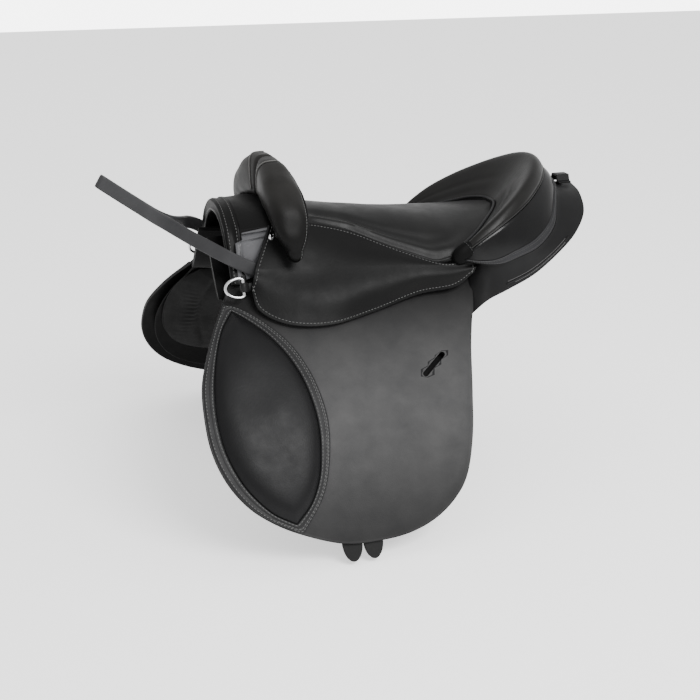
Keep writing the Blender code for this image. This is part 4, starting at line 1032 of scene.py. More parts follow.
def make_under_leathers():
    """The sweat flap, stitched round its rim, and the web that the girth straps are sewn to."""
    sweat = closed_even(np.vstack([spline(SWEAT_EDGE, 140), [(-0.05, -0.046)]]), 0.0045)
    web = closed_even([(-0.101, -0.044), (-0.101, 0.03), (-0.06, 0.03), (-0.06, -0.044)], 0.003)
    row = grown(sweat, -0.0045)
    row = np.vstack([row, row[:1]])
    for label, side in SIDES:
        hide(f"sweat_hide_{label}", sweat, np.array((-0.06, 0.11)), SWEAT_D, SWEAT_T, side,
             "lining_hide", "saddle", [f"sweat_flap_{label}"], waves=0.0, inner=12)
        hide(f"girth_web_{label}", web, np.array((-0.0805, -0.007)), WEB_D, WEB_T, side, "flax_web",
             "saddle", [f"girth_webbing_{label}"], lip=0.0003, crease=0.0, waves=0.0, inner=5)
        thread(f"sweat_thread_{label}", [barrel_row(row, SWEAT_D + SWEAT_T, side)], "saddle",
               "dark_thread")


make_under_leathers()

# %% Lower panels
LOWER_EDGE = (
    (-0.176, -0.003), (-0.196, 0.022), (-0.208, 0.07), (-0.211, 0.12), (-0.204, 0.165),
    (-0.18, 0.203), (-0.13, 0.224), (-0.06, 0.222), (-0.005, 0.198), (0.028, 0.15), (0.05, 0.09),
    (0.078, 0.035), (0.088, -0.003),
)
LOWER_MIDDLE = np.array((-0.085, 0.095))
LOWER_CROWN, LOWER_RIM = 0.017, 0.0024
LOWER_SEAMS = ((-0.186, 0.01), (-0.15, 0.016))


def lower_height(x, s, k):
    """Crown of the cushion, less the two sewn valleys and the gathers near the front rim."""
    crown = LOWER_RIM + (LOWER_CROWN - LOWER_RIM) * (1 - k**2.6) ** 0.8
    seams = 0
    for start, bow in LOWER_SEAMS:
        line = start - bow * np.sin(math.pi * np.clip(s / 0.2, 0, 1))
        seams = seams + bell(x - line, 0.0035)
    gathers = np.sin(2 * math.pi * s / 0.011) * bell(x + 0.196 - 0.02 * np.sin(s * 15), 0.008)
    lumps = 0.0006 * np.sin(48 * x + 30 * s) + 0.0005 * np.sin(75 * s - 22 * x)
    return crown - 0.0032 * seams * (1 - k**4) + (0.0007 * gathers + lumps) * (1 - k**3)


def make_lower_panels():
    """The cushions behind the sweat flaps: rings shrinking to the middle on the pony's side."""
    rim = closed_even(np.vstack([spline(LOWER_EDGE, 140), [(-0.04, -0.004)]]), 0.0035)
    shares = np.concatenate([[1.0, 0.992, 0.98, 0.965, 0.945, 0.92], np.linspace(0.89, 0.03, 26)])
    shrunk = lambda k: (LOWER_MIDDLE + (rim - LOWER_MIDDLE) * k).T
    for label, side in SIDES:
        rings = [on_barrel(*shrunk(k), PANEL_D, side) for k in (0.3, 0.7, 0.97, 1.0)]
        rings += [on_barrel(*shrunk(k), PANEL_D - lower_height(*shrunk(k), k), side)
                  for k in shares]
        cushion = ring_solid(f"lower_panel_hide_{label}", rings, "lining_hide", "saddle",
                             [f"lower_panel_{label}"], 60)
        cord = on_barrel(rim[:, 0], rim[:, 1], PANEL_D - 0.0014, side)
        piping(f"lower_panel_piping_{label}", cord, 0.0013, "lining_hide", "saddle", closed=True,
               sides=8)


make_lower_panels()

# %% [markdown]
# ## Seat
# The seat's height is a table along the saddle: its half width, the height of its edge and the
# height of its middle. Between the edge and the middle the surface rises as one minus a power
# of the distance out. On top of that, the cover swells into a roll just inside its edge and dips
# into a shallow valley inside the roll, where the foam starts.

# %% Seat surface
TOP_X = (
    -0.172, -0.157, -0.124, -0.1, -0.069, -0.022, 0.025, 0.078, 0.102, 0.118, 0.144, 0.172, 0.19,
)
TOP_W = (0.056, 0.06, 0.075, 0.06, 0.05, 0.052, 0.072, 0.095, 0.098, 0.088, 0.069, 0.04, 0.01)
TOP_EDGE = (
    0.085, 0.088, 0.094, 0.094, 0.089, 0.076, 0.057, 0.039, 0.045, 0.052, 0.064, 0.076, 0.082,
)
TOP_MID = (
    0.111, 0.112, 0.112, 0.11, 0.103, 0.095, 0.089, 0.085, 0.083, 0.0825, 0.082, 0.082, 0.083,
)
TOP_ROUND = 2.3
SEAT_FRONT, SEAT_REAR = -0.104, 0.189
COVER_T, COVER_GAP, FOAM_T = 0.0025, 0.001, 0.01
SEAT_LIP = 0.0012
EDGE_ROUND = 0.0024
EVEN_X = np.arange(-0.2, 0.2305, 0.001)


def smooth_table(values):
    """The table on an even line, each point the raised-cosine average of 24 mm round it."""
    return smoothed(np.interp(EVEN_X, TOP_X, values), 25)


HALF_WIDE, EDGE_HIGH, MID_HIGH = (smooth_table(v) for v in (TOP_W, TOP_EDGE, TOP_MID))


def top_point(x, v):
    """The seat surface at x, with v from -1 at the near edge to 1 at the far edge."""
    half, edge, mid = (np.interp(x, EVEN_X, table) for table in (HALF_WIDE, EDGE_HIGH, MID_HIGH))
    return np.stack([x + 0 * v, half * v, edge + (mid - edge) * (1 - np.abs(v) ** TOP_ROUND)], -1)


def sunk(x, v, drop):
    """The point at drop below the seat surface, square to it."""
    step = 1e-4
    along = top_point(x + step, v) - top_point(x - step, v)
    up = unit(np.cross(along, top_point(x, v + step) - top_point(x, v - step)))
    return top_point(x, v) - up * np.asarray(drop)[..., None]


def edge_roll(x, v):
    """Height of the roll and the valley beside the seat's edge; both widen towards the rear."""
    inside = (1 - np.abs(v)) * np.interp(x, EVEN_X, HALF_WIDE)
    wide = 1 + 0.35 * np.clip(x / 0.09, 0, 1) ** 1.5
    fade = np.clip((0.128 - x) / 0.035, 0, 1) * np.clip((x + 0.085) / 0.03, 0, 1)
    roll, valley = bell(inside / wide - 0.0062, 0.0042), bell(inside / wide - 0.0155, 0.0058)
    return (0.0034 * roll - 0.0024 * valley) * fade


def seat_grid(x_from, x_to, step, lift, wrap=0.0):
    """Rows along x, columns across; `wrap` turns both edges down
    by a quarter round and a short drop."""
    x = x_from + ticks(x_to - x_from, step, SEAT_LIP) * (x_to - x_from)
    x, v = np.meshgrid(x, ticks(0.14, step, SEAT_LIP) * 2 - 1, indexing="ij")
    grid = sunk(x, v, -lift(x, v))
    if not wrap:
        return grid
    for edge, sign in ((0, -1), (-1, 1)):
        rim = grid[:, edge].copy()
        run = unit(np.gradient(rim, axis=0))
        out = unit(np.stack([-run[:, 1] * sign, run[:, 0] * sign, 0 * run[:, 0]], -1)) * EDGE_ROUND
        turn = np.linspace(0, math.pi / 2, 6)[1:]
        extra = [rim + out * math.sin(a) - (0, 0, EDGE_ROUND * (1 - math.cos(a))) for a in turn]
        extra += [rim + out - (0, 0, EDGE_ROUND + wrap * f) for f in (0.3, 0.65, 1.0)]
        extra = np.array(extra).transpose(1, 0, 2)
        grid = np.concatenate([grid, extra] if edge else [extra[:, ::-1], grid], 1)
    return grid


# %% Seat cover, foam and webbing
def seat_lift(x, v):
    """The roll and valley, with slow waves that die out towards the edges."""
    soft = 0.0005 * np.sin(26 * x + 2.0) * np.cos(1.5 * v) + 0.0003 * np.sin(60 * x + 5 * v)
    return edge_roll(x, v) + soft * (1 - v**6)


def make_seat():
    """The cover with its wrapped edges, the foam a gap below it and the web below the foam."""
    grid = seat_grid(SEAT_FRONT, SEAT_REAR, 0.0026, seat_lift, wrap=0.005)
    cover = slab("seat_hide", grid, COVER_T, (0, 0, 1), "crown_leather", "saddle", ["seat_cover"],
                 lip=SEAT_LIP)
    under = COVER_T + COVER_GAP
    foam = seat_grid(SEAT_FRONT + 0.004, SEAT_REAR - 0.01, 0.006, lambda x, v: -under + 0 * x)
    foam[..., 1] *= 0.88
    slab("seat_foam_body", foam, FOAM_T, (0, 0, 1), "seat_foam_fill", "saddle", ["seat_foam"],
         lip=0.002)
    x, y = np.meshgrid(np.linspace(SEAT_FRONT + 0.01, 0.17, 60), np.linspace(-0.013, 0.013, 9),
                       indexing="ij")
    web = sunk(x, y / np.interp(x, EVEN_X, HALF_WIDE), under + FOAM_T + WEB_T + 0 * x)
    slab("seat_web", web, WEB_T, (0, 0, 1), "flax_web", "saddle", ["seat_webbing"], lip=0.0003)
    print("seat roll:", round(float(seat_lift(np.array(0.05), np.array(0.92))) * 1000, 2), "mm")


make_seat()

# %% [markdown]
# ## Pommel
# The pommel's front is an arch: the head of the tree, a steel plate and a lining, closed off
# by a stitched facing with a rolled rim. Behind it a short cover runs back to the seat,
# and a patch on each side carries the head's leather down to the skirt.

# %% Arch of the pommel
FACING_FRONT, FACING_REAR = -0.172, -0.158
FACING_LOW = ((0.068, 0.066), (0.077, 0.047), (0.085, 0.03))
FACING_SECTION = (
    (-0.1552, -0.0016), (-0.1566, 0.0004), (-0.16, 0.001), (-0.1645, 0.0002), (-0.169, 0.001),
    (-0.1725, 0.0006), (-0.1742, -0.0012), (-0.1738, -0.0034), (-0.173, -0.0075),
    (-0.1728, -0.0118), (-0.1717, -0.0118), (-0.1718, -0.007), (-0.1712, -0.0034), (-0.166, -0.003),
    (-0.158, -0.0029), (-0.1556, -0.0028),
)
GULLET_STOP = 0.8


def half_arch(x, drop, count=41):
    """The pommel's half section from the middle down to the facing's foot, drop inside it."""
    v = np.linspace(0, 1, 6)
    pts = spline(np.vstack([top_point(x + 0 * v, v)[:, 1:], FACING_LOW]), count)
    run = unit(np.gradient(pts, axis=0))
    inward = np.stack([run[:, 1], -run[:, 0]], -1)
    inward[0] = (0, -1)
    pts = pts + inward * drop
    pts[0, 0] = 0
    return pts


def arch_line(x, drop, stop=1.0, section=FACING_FRONT):
    """The arch at one x as a line of points from the near foot over the top to the far foot."""
    half = half_arch(section, drop)
    half = half[: max(2, int(len(half) * stop))]
    full = np.vstack([(half * (-1, 1))[:0:-1], half])
    return np.column_stack([np.full(len(full), x), full])


def arch_normals(line):
    """Square to the arch line, away from its middle."""
    run = unit(np.gradient(line, axis=0))
    out = np.stack([0 * run[:, 0], -run[:, 2], run[:, 1]], -1)
    return out * np.sign(np.sum(out * (0, 0, 1) + out * line * (0, 1, 0), axis=1))[:, None]


def make_facing():
    """The facing, carried round the arch from a section given as x
    and height over it; then its lining."""
    line, rear = (even(arch_line(0.0, 0.0, section=at), 0.0025)
                  for at in (FACING_FRONT, FACING_REAR))
    rear = sampled(np.linspace(0, 1, len(line)), np.linspace(0, 1, len(rear)), rear)
    out = arch_normals(line)
    spread = lambda x: (rear - line) * np.clip((x + 0.17) / 0.011, 0, 1) ** 1.5
    carried = lambda x, h: line + spread(x) + out * h + (x, 0, 0)
    rings = np.array([carried(x, h) for x, h in spline(FACING_SECTION, 40)]).transpose(1, 0, 2)
    ring_solid("facing_hide", rings, "seat_leather", "saddle", ["pommel_facing"], 60)
    thread("facing_thread",
           [(carried(x, h), out) for x, h in ((-0.1702, 0.0011), (-0.1608, 0.001))], "saddle")
    lining = np.array([arch_line(x, 0.013, GULLET_STOP) for x in np.linspace(-0.171, -0.125, 16)])
    slab("gullet_hide", lining, 0.002, (0, 0, 1), "lining_hide", "saddle", ["gullet_lining"],
         lip=0.0009)
    rim = even(arch_line(-0.1722, 0.012, GULLET_STOP), 0.0025)
    piping("gullet_roll", rim, 0.0021, "piping_hide", "saddle")


make_facing()

# %% Pommel cover and side patches
COVER_FRONT = -0.1575
SEAM_START = np.array((-0.126, 0.077, 0.095))
SIDE_FRONT_LOW = np.array((-0.158, 0.0822, 0.031))
SIDE_REAR_LOW = np.array((-0.128, 0.0765, 0.04))
WELTS_DOWN = (0.045, 0.17)
PATCH_LIP = 0.001
PATCH_DOWN = ticks(0.06, 0.0012, PATCH_LIP)


def side_patch(side):
    """The patch as a grid from its upper edge down; its front edge first."""
    front = top_point(np.array(COVER_FRONT + 0.0015), np.array(1.0)) + (0, 0.0006, -0.0014)
    rear = SEAM_START + (-0.0015, -0.0005, -0.002)
    t = ticks(0.032, 0.0012, PATCH_LIP)[:, None, None]
    q = PATCH_DOWN[None, :, None]
    high = front + (rear - front) * t
    low = SIDE_FRONT_LOW + (SIDE_REAR_LOW - SIDE_FRONT_LOW) * t
    grid = high + (low - high) * q
    bulge = 0.001 * np.sin(math.pi * q)
    for at in WELTS_DOWN:
        bulge = bulge + 0.0018 * bell(q - at, 0.02)
        bulge = bulge - 0.002 * bell(q - at - 0.048, 0.018)
    bulge = bulge - 0.0009 * bell(t - 0.16, 0.03) * (q > WELTS_DOWN[-1] + 0.04)
    ahead = np.clip(1 - t, 0, 1) ** 1.5 * np.clip((q - WELTS_DOWN[-1]) / 0.05, 0, 1)
    return (grid + bulge * np.array((0, 1.0, 0.15))
            + ahead * np.array((-0.0085, 0.0024, 0))) * (1, side, 1)


def make_pommel():
    """The short cover behind the facing, and on each side a patch
    with two welts and three stitched rows."""
    grid = seat_grid(COVER_FRONT, SEAT_FRONT - 0.0004, 0.0028, lambda x, v: 0 * x, wrap=0.003)
    slab("pommel_hide", grid, COVER_T, (0, 0, 1), "seat_leather", "saddle", ["pommel_cover"],
         lip=0.001)
    columns = [int(np.argmin(np.abs(PATCH_DOWN - q - 0.03))) for q in WELTS_DOWN]
    for label, side in SIDES:
        patch = side_patch(side)
        slab(f"pommel_side_hide_{label}", patch, COVER_T, (0, side, 0), "patch_hide", "saddle",
             [f"pommel_side_{label}"], lip=PATCH_LIP)
        normal = grid_normals(patch, (0, side, 0))
        rows = [(patch[2:-2, c], normal[2:-2, c]) for c in columns]
        r, below = int(patch.shape[0] * 0.2), columns[-1] + 2
        rows.append((patch[r, below:-3], normal[r, below:-3]))
        thread(f"pommel_side_thread_{label}", rows, "saddle", "dark_thread", pitch=0.003)


make_pommel()

# %% [markdown]
# ## Skirts
# The skirt is sewn under the seat's edge and hangs over the stirrup bar. It bends along a line
# a hand's breadth down: the part above stays with the saddle, and the part below lifts. Both
# come from one smooth surface, cut on that line, so the light runs across it unbroken.

# %% Skirt surface
BEND_FRONT = np.array((-0.147, 0.0905, 0.049))
BEND_REAR = np.array((0.124, 0.108, 0.033))
SEAM_LINE = (
    (-0.126, 0.077, 0.095), (-0.1, 0.062, 0.094), (-0.069, 0.0515, 0.0885),
    (-0.022, 0.0535, 0.0755), (0.025, 0.0735, 0.0565), (0.078, 0.0965, 0.0385),
    (0.11, 0.1045, 0.0365),
)
SKIRT_LOW = (
    (-0.1545, 0.099, 0.028), (-0.149, 0.113, 0.004), (-0.117, 0.129, -0.011),
    (-0.067, 0.133, -0.015), (-0.01, 0.1225, -0.008), (0.048, 0.113, 0.004), (0.096, 0.113, 0.009),
    (0.122, 0.111, 0.025),
)
SEAM_LAP = (0.0, 0.0032, 0.0004)
SKIRT_T = 0.003
SKIRT_BULGE = 0.004
SKIRT_LIP = 0.001
SKIRT_STEP = 0.0028
STITCH_INSET = 0.0042


def hermite(a, b, ta, tb, t):
    """The cubic from a to b that leaves along ta and arrives along tb."""
    a, b, ta, tb = (v[:, None] for v in (a, b, ta, tb))
    turn = (t**3 - 2 * t**2 + t) * ta
    return (2 * t**3 - 3 * t**2 + 1) * a + turn + (3 * t**2 - 2 * t**3) * b + (t**3 - t**2) * tb


def skirt_surface(side):
    """Columns from the seam through the bend line to the lower edge, as one smooth surface."""
    along = ticks(0.3, SKIRT_STEP, SKIRT_LIP)
    fine = 400
    seam, low = (sampled(along * (fine - 1), np.arange(fine), line)
                 for line in (spline(SEAM_LINE, fine) + SEAM_LAP, spline(SKIRT_LOW, fine)))
    line = BEND_FRONT + (BEND_REAR - BEND_FRONT) * along[:, None]
    upper, lower = unit(line - seam), unit(low - line)
    slope = unit(upper + lower)
    reach_u = np.linalg.norm(line - seam, axis=1, keepdims=True)
    reach_l = np.linalg.norm(low - line, axis=1, keepdims=True)
    u, w = (ticks(length, SKIRT_STEP, SKIRT_LIP)[None, :, None] for length in (0.045, 0.06))
    top = hermite(seam, line, upper * reach_u, slope * reach_u, u)
    bulge = SKIRT_BULGE * np.sin(math.pi * w) ** 2 * np.array((0, 1, 0.6))
    base = hermite(line, low, slope * reach_l, lower * reach_l, w) + bulge * 0.6
    return top * (1, side, 1), base * (1, side, 1)


def inset_row(grid, distance, hint, start=0.0, stop=1.0):
    """A line on the surface a set distance inside its last column, with the surface's normals."""
    run = grid_lengths(grid)
    line, normal = (np.array([sampled(r[-1] - distance, r, row) for r, row in zip(run, source)])
                    for source in (grid, grid_normals(grid, hint)))
    a, b = int(len(grid) * start), int(len(grid) * stop)
    return line[a:b], unit(normal[a:b])


# %% Make the skirts
def make_skirts():
    """Both halves of each skirt, with stitches inside their free
    edges and beside the seat's seam."""
    for label, side in SIDES:
        top, low = skirt_surface(side)
        hint, body = (0, side, 0.6), f"skirt_{label}"
        slab(f"skirt_top_hide_{label}", top, SKIRT_T, hint, "seat_leather", "saddle",
             [f"skirt_top_{label}"], lip=SKIRT_LIP, free=(1, 1, 1, 0))
        slab(f"skirt_hide_{label}", low, SKIRT_T, hint, "seat_leather", body, [f"skirt_{label}"],
             lip=SKIRT_LIP, free=(1, 1, 0, 1), crease=0.0003)
        row = lambda grid, start, stop: inset_row(grid, STITCH_INSET, hint, start, stop)
        turned = low.transpose(1, 0, 2)
        thread(f"skirt_thread_{label}", [row(low, 0.03, 0.97), row(turned, 0.03, 0.93)], body)
        thread(f"skirt_front_thread_{label}", [row(turned[:, ::-1], 0.03, 0.93)], body)
        thread(f"seat_edge_thread_{label}", [row(top[:, ::-1], 0.16, 0.98)], "saddle")
        thread(f"skirt_top_thread_{label}", [row(top.transpose(1, 0, 2)[:, ::-1], 0.06, 1.0)],
               "saddle")


make_skirts()

# %% [markdown]
# ## Pommel blocks
# Two stuffed rolls meet over the pommel with a cleft between them and taper down each side.
# Each is a loft: a middle line across the saddle, with a half depth and a half width at every
# point of it. A pale piping runs over the top beside the cleft and down the front, and a
# stitched, piped seam runs down the rear.

# %% Block surface
BLOCK_X = -0.1045
BLOCK_LEAN = 0.04
BLOCK_PATH = (
    (0.0006, 0.135), (0.032, 0.1318), (0.06, 0.1222), (0.0844, 0.108), (0.0979, 0.087),
    (0.103, 0.068),
)
BLOCK_DEEP = (0.028, 0.027, 0.0222, 0.0168, 0.0135, 0.0095)
BLOCK_WIDE = (0.0155, 0.02, 0.0226, 0.0226, 0.0186, 0.0088)
BLOCK_END = 0.0125
CLEFT_ROUND = 0.0075
REAR_SEAM, CLEFT_PRESS, CLEFT_SEAM = (math.radians(degrees) for degrees in (27, 115, 144))


def block_rings(side, columns=72):
    """Rings along the block, with both ends closed in on a quarter ellipse."""
    fine = 300
    centre = spline(BLOCK_PATH, fine)
    deep, wide = (spline(np.array(table)[:, None], fine) for table in (BLOCK_DEEP, BLOCK_WIDE))
    run = running_length(centre)
    slope = unit(np.gradient(centre, axis=0))
    slope = unit(slope + (np.array((1.0, 0.0)) - slope) * bell(run, 0.012)[:, None])
    head = CLEFT_ROUND * (1 - np.cos(np.linspace(0.06, 1, 12) * math.pi / 2))
    at = np.concatenate([head, np.linspace(CLEFT_ROUND, run[-1], 64)[1:]])
    start = np.sqrt(np.clip(1 - (1 - at / CLEFT_ROUND) ** 2, 0, 1)) * 0.34 + 0.66
    tail = np.sin(np.linspace(0.06, 0.97, 18) * math.pi / 2)
    shrink = np.concatenate([np.where(at < CLEFT_ROUND, start, 1.0), np.sqrt(1 - tail**2)])
    extra = np.concatenate([np.zeros(len(at)), BLOCK_END * tail])
    at_all = np.concatenate([at, np.full(len(tail), run[-1])])
    angle = full_turn(columns)
    c, s = np.cos(angle), np.sin(angle)
    table = np.column_stack([centre, -slope[:, 1], slope[:, 0], slope, deep, wide])
    py, pz, oy, oz, sy, sz, deep, wide = sampled(at_all, run, table).T
    py, pz = py + sy * extra, pz + sz * extra
    r = (deep * shrink)[:, None] * (np.sign(s) * np.abs(s) ** 0.92)[None]
    flat = np.where(c < 0, 0.55, 0.86)[None]
    across = (wide * shrink)[:, None] * (np.sign(c) * np.abs(c) ** flat)
    x = BLOCK_X - BLOCK_LEAN * (pz - 0.1)[:, None] + across
    r = r + 0.0005 * np.sin(at_all[:, None] * 190 + 2 * angle[None])
    y, z = py[:, None] + oy[:, None] * r, pz[:, None] + oz[:, None] * r
    rings = np.stack([x, side * np.maximum(y, 0.0003), z], -1)
    return rings, angle, np.concatenate([at, run[-1] + BLOCK_END * tail])


def groove(rings, normals, weight, depth):
    """Press the surface in by depth times a weight between 0 and 1."""
    return rings - normals * (weight * depth)[..., None]


def ring_normals(rings):
    """Outward normals of closed rings: the cross product of the two grid directions."""
    around = np.roll(rings, -1, 1) - np.roll(rings, 1, 1)
    n = unit(np.cross(np.gradient(rings, axis=0), around))
    away = rings - rings.mean(1, keepdims=True)
    return n if np.sum(n * away) > 0 else -n


def make_blocks():
    """Each block with its two seams pressed in, a piping in either
    and stitches beside the rear one."""
    for label, side in SIDES:
        rings, angle, at = block_rings(side)
        normals = ring_normals(rings)
        away = lambda centre: (angle - centre + math.pi) % (2 * math.pi) - math.pi
        rear = bell(np.abs(away(REAR_SEAM)), 0.055)[None] * (at > 0.03)[:, None]
        rings = groove(rings, normals, rear, 0.001)
        where = 0.0135 + 0.0125 * np.clip(np.sin(angle), 0, 1) ** 1.5
        cleft = bell(at[:, None] - where, 0.0014) * (np.abs(away(CLEFT_PRESS)) < 1.75)[None]
        rings = groove(rings, normals, cleft, 0.0006)
        block = ring_solid(f"pommel_block_hide_{label}", rings, "block_hide", "saddle",
                           [f"pommel_block_{label}"], 60)
        rank = np.interp(where, at, np.arange(len(at)))
        low, part = rank.astype(int), (rank % 1)[:, None]
        column = np.arange(len(angle))
        raised = rings + normals * 0.0008
        seam = raised[low, column] * (1 - part) + raised[low + 1, column] * part
        arc = np.where(np.abs(away(CLEFT_SEAM)) < 1.2)[0]
        line = even(seam[arc[np.argsort(away(CLEFT_SEAM)[arc])]], 0.002)
        piping(f"block_cleft_piping_{label}", line, 0.0009, "cleft_hide", "saddle", sides=8)
        column = int(np.argmin(np.abs(away(REAR_SEAM))))
        keep = (at > 0.034) & (at < at[-1] - 0.004)
        line = even((rings + normals * 0.0004)[keep, column], 0.002)
        piping(f"block_piping_{label}", line, 0.0015, "seat_leather", "saddle", sides=8)
        beside = [(column + k) % len(angle) for k in (-3, 3)]
        rows = [((rings + normals * 0.0001)[keep, k], normals[keep, k]) for k in beside]
        thread(f"block_thread_{label}", rows, "saddle", pitch=0.0034)


make_blocks()

# %% [markdown]
# ## Cantle
# The cantle is a horseshoe roll, high behind the rider, that thins to a rounded tip on each
# side. Its section is a closed smooth curve through eight points: up from the welt at the
# tongue, over the crest, down the outside to the seam, and back under. Below the seam stand a
# glossy wall, a stitched band and the rear skirts.

# %% Cantle lines
WELT_LINE = (
    (0.193, 0.000, 0.0835), (0.19, 0.018, 0.083), (0.178, 0.038, 0.079), (0.162, 0.0545, 0.072),
    (0.144, 0.0715, 0.064), (0.128, 0.0835, 0.0575), (0.113, 0.0925, 0.0515),
    (0.101, 0.1005, 0.048),
)
CREST_LINE = (
    (0.236, 0.000, 0.152), (0.231, 0.028, 0.149), (0.216, 0.054, 0.139), (0.194, 0.075, 0.125),
    (0.17, 0.089, 0.109), (0.147, 0.0975, 0.0915), (0.126, 0.1015, 0.074), (0.107, 0.1035, 0.056),
)
ROLL_SEAM = (
    (0.258, 0.000, 0.13), (0.253, 0.025, 0.1265), (0.237, 0.052, 0.1165), (0.213, 0.076, 0.104),
    (0.188, 0.094, 0.093), (0.155, 0.108, 0.078), (0.127, 0.111, 0.062), (0.106, 0.108, 0.047),
)
WALL_LOW = (
    (0.275, 0.000, 0.106), (0.268, 0.03, 0.104), (0.256, 0.058, 0.09), (0.24, 0.086, 0.066),
    (0.213, 0.102, 0.047), (0.182, 0.11, 0.038), (0.15, 0.1135, 0.032), (0.108, 0.1115, 0.04),
)
REAR_LOW = (
    (0.308, 0.000, 0.104), (0.306, 0.03, 0.096), (0.297, 0.06, 0.078), (0.275, 0.081, 0.057),
    (0.245, 0.095, 0.037), (0.208, 0.104, 0.015), (0.168, 0.112, 0.001), (0.136, 0.119, -0.008),
)
ROLL_SWELL = 0.006
CANTLE_STEPS = 181


def both_sides(points):
    """A line given from the middle out to one side, carried on across the middle."""
    pts = np.asarray(points, float)
    return np.vstack([(pts * (1, -1, 1))[:0:-1], pts])


def cantle_lines(count=CANTLE_STEPS):
    """Welt, crest, roll seam and wall foot, each sampled right round."""
    return [spline(both_sides(line), count)
            for line in (WELT_LINE, CREST_LINE, ROLL_SEAM, WALL_LOW)]


def closed_spline(points, count):
    """A smooth closed curve through a few stacked points, row by
    row: the same cubic, wrapped round."""
    n = points.shape[1]
    where = np.linspace(0, n, count, endpoint=False)
    i = where.astype(int) % n
    corners = (points[:, (i + k) % n] for k in (-1, 0, 1, 2))
    return cubic(*corners, (where - np.floor(where))[None, :, None])


def roll_sections():
    """Eight key points round the roll at each step along it."""
    welt, crest, seam, _ = cantle_lines()
    swell = ROLL_SWELL * np.sin(np.linspace(0.12, math.pi - 0.12, len(welt)))[:, None]
    up = np.array((0, 0, 1.0))
    crest = crest * 0.62 + seam * 0.38 + up * swell
    lift = unit(crest - (welt + seam) / 2)
    away = unit(seam - crest)
    inner = welt + (crest - welt) * 0.42 + lift * swell * 0.55
    outer = crest + (seam - crest) * 0.55 + (lift * 0.2 + away * 0.5) * swell
    near_top = welt + (crest - welt) * 0.8 + lift * swell * 0.35
    floor_in = welt + (seam - welt) * 0.25 - up * 0.004
    floor_out = welt + (seam - welt) * 0.75 - up * 0.0005
    return np.stack([welt, inner, near_top, crest, outer, seam, floor_out, floor_in], 1)


# %% Make the roll
def relaxed(rings, weight, times):
    """Slide each point towards the middle of its two neighbours round
    the ring, by its weight, many times."""
    for _ in range(times):
        middle = (np.roll(rings, 1, 1) + np.roll(rings, -1, 1)) / 2
        rings = rings + (middle - rings) * weight
    return rings


ROLL_POINTS = 80
ROLL_FOLDS = ((1.0, 0.42, 0.1), (0.8, 0.95, 0.13))


def make_roll():
    """The roll with rounded tips, two folds beside the welt and a line above its outer seam."""
    rings = closed_spline(roll_sections(), ROLL_POINTS)
    place = np.arange(ROLL_POINTS) / 10.0
    rings = relaxed(rings, np.clip(1 - np.abs(place - 2.6) / 2.3, 0, 1)[None, :, None] ** 0.5, 80)
    centre = rings.mean(1, keepdims=True)
    ends = []
    for first, step in ((0, 1), (-1, -1)):
        inward = unit(centre[first] - centre[first + 6 * step])
        ends.append([centre[first] + (rings[first] - centre[first]) * math.sqrt(1 - t * t)
                     + inward * 0.0045 * t
                     for t in (0.35, 0.62, 0.82, 0.94, 0.99)])
    normals = ring_normals(rings)
    along = np.abs(np.linspace(-1, 1, len(rings)))
    fold = sum(share * bell(place - at, width) for share, at, width in ROLL_FOLDS)
    reach = np.clip(along / 0.25, 0.25, 1)[:, None]
    rings = groove(rings, normals,
                   fold[None] * reach * np.clip((0.93 - along) / 0.2, 0, 1)[:, None], 0.0008)
    rings = groove(rings, normals, np.broadcast_to(bell(place - 4.78, 0.16), rings.shape[:2]),
                   0.0006)
    full = [*ends[0][::-1], *rings, *ends[1]]
    roll = ring_solid("cantle_roll_hide", full, "cantle_hide", "saddle", ["cantle_roll"], 60)
    return rings


ROLL_RINGS = make_roll()
TIP_MIDDLE, TIP_SIZE = np.array((0.111, 0.1035, 0.0475)), (0.0175, 0.0092, 0.0122)


def make_tip_wraps():
    """A leather cap sewn round each tip of the roll: an egg along
    the roll, with one stitched row."""
    long, wide, high = TIP_SIZE
    centre = ROLL_RINGS.mean(1)
    turn, t = full_turn(40), np.linspace(0.08, math.pi - 0.08, 24)
    reach = np.sin(t)[:, None] ** 0.85
    for label, side in SIDES:
        end = centre[::-1] if side > 0 else centre
        along = unit(end[8] - end[0])
        across = unit(np.cross(along, (0, 0, 1.0)))
        up = np.cross(across, along)
        rings = (TIP_MIDDLE * (1, side, 1) - along * long * np.cos(t)[:, None, None]
                 + across * (wide * reach * np.cos(turn))[..., None]
                 + up * (high * reach * np.sin(turn))[..., None])
        ring_solid(f"cantle_tip_wrap_{label}", rings, "lining_hide", "saddle", angle=60)
        out = unit(rings[15] - rings[15].mean(0))
        thread(f"cantle_tip_thread_{label}", [(rings[15] + out * 0.0002, out)], "saddle",
               "dark_thread", pitch=0.0034)


make_tip_wraps()

# %% Welt, wall, band and rear skirts
WALL_T = 0.004
BAND_H = 0.22
REAR_T = 0.003


def outward_push(low, top):
    """Square to the wall, away from the saddle."""
    return unit(np.cross(np.gradient(low, axis=0), top - low))


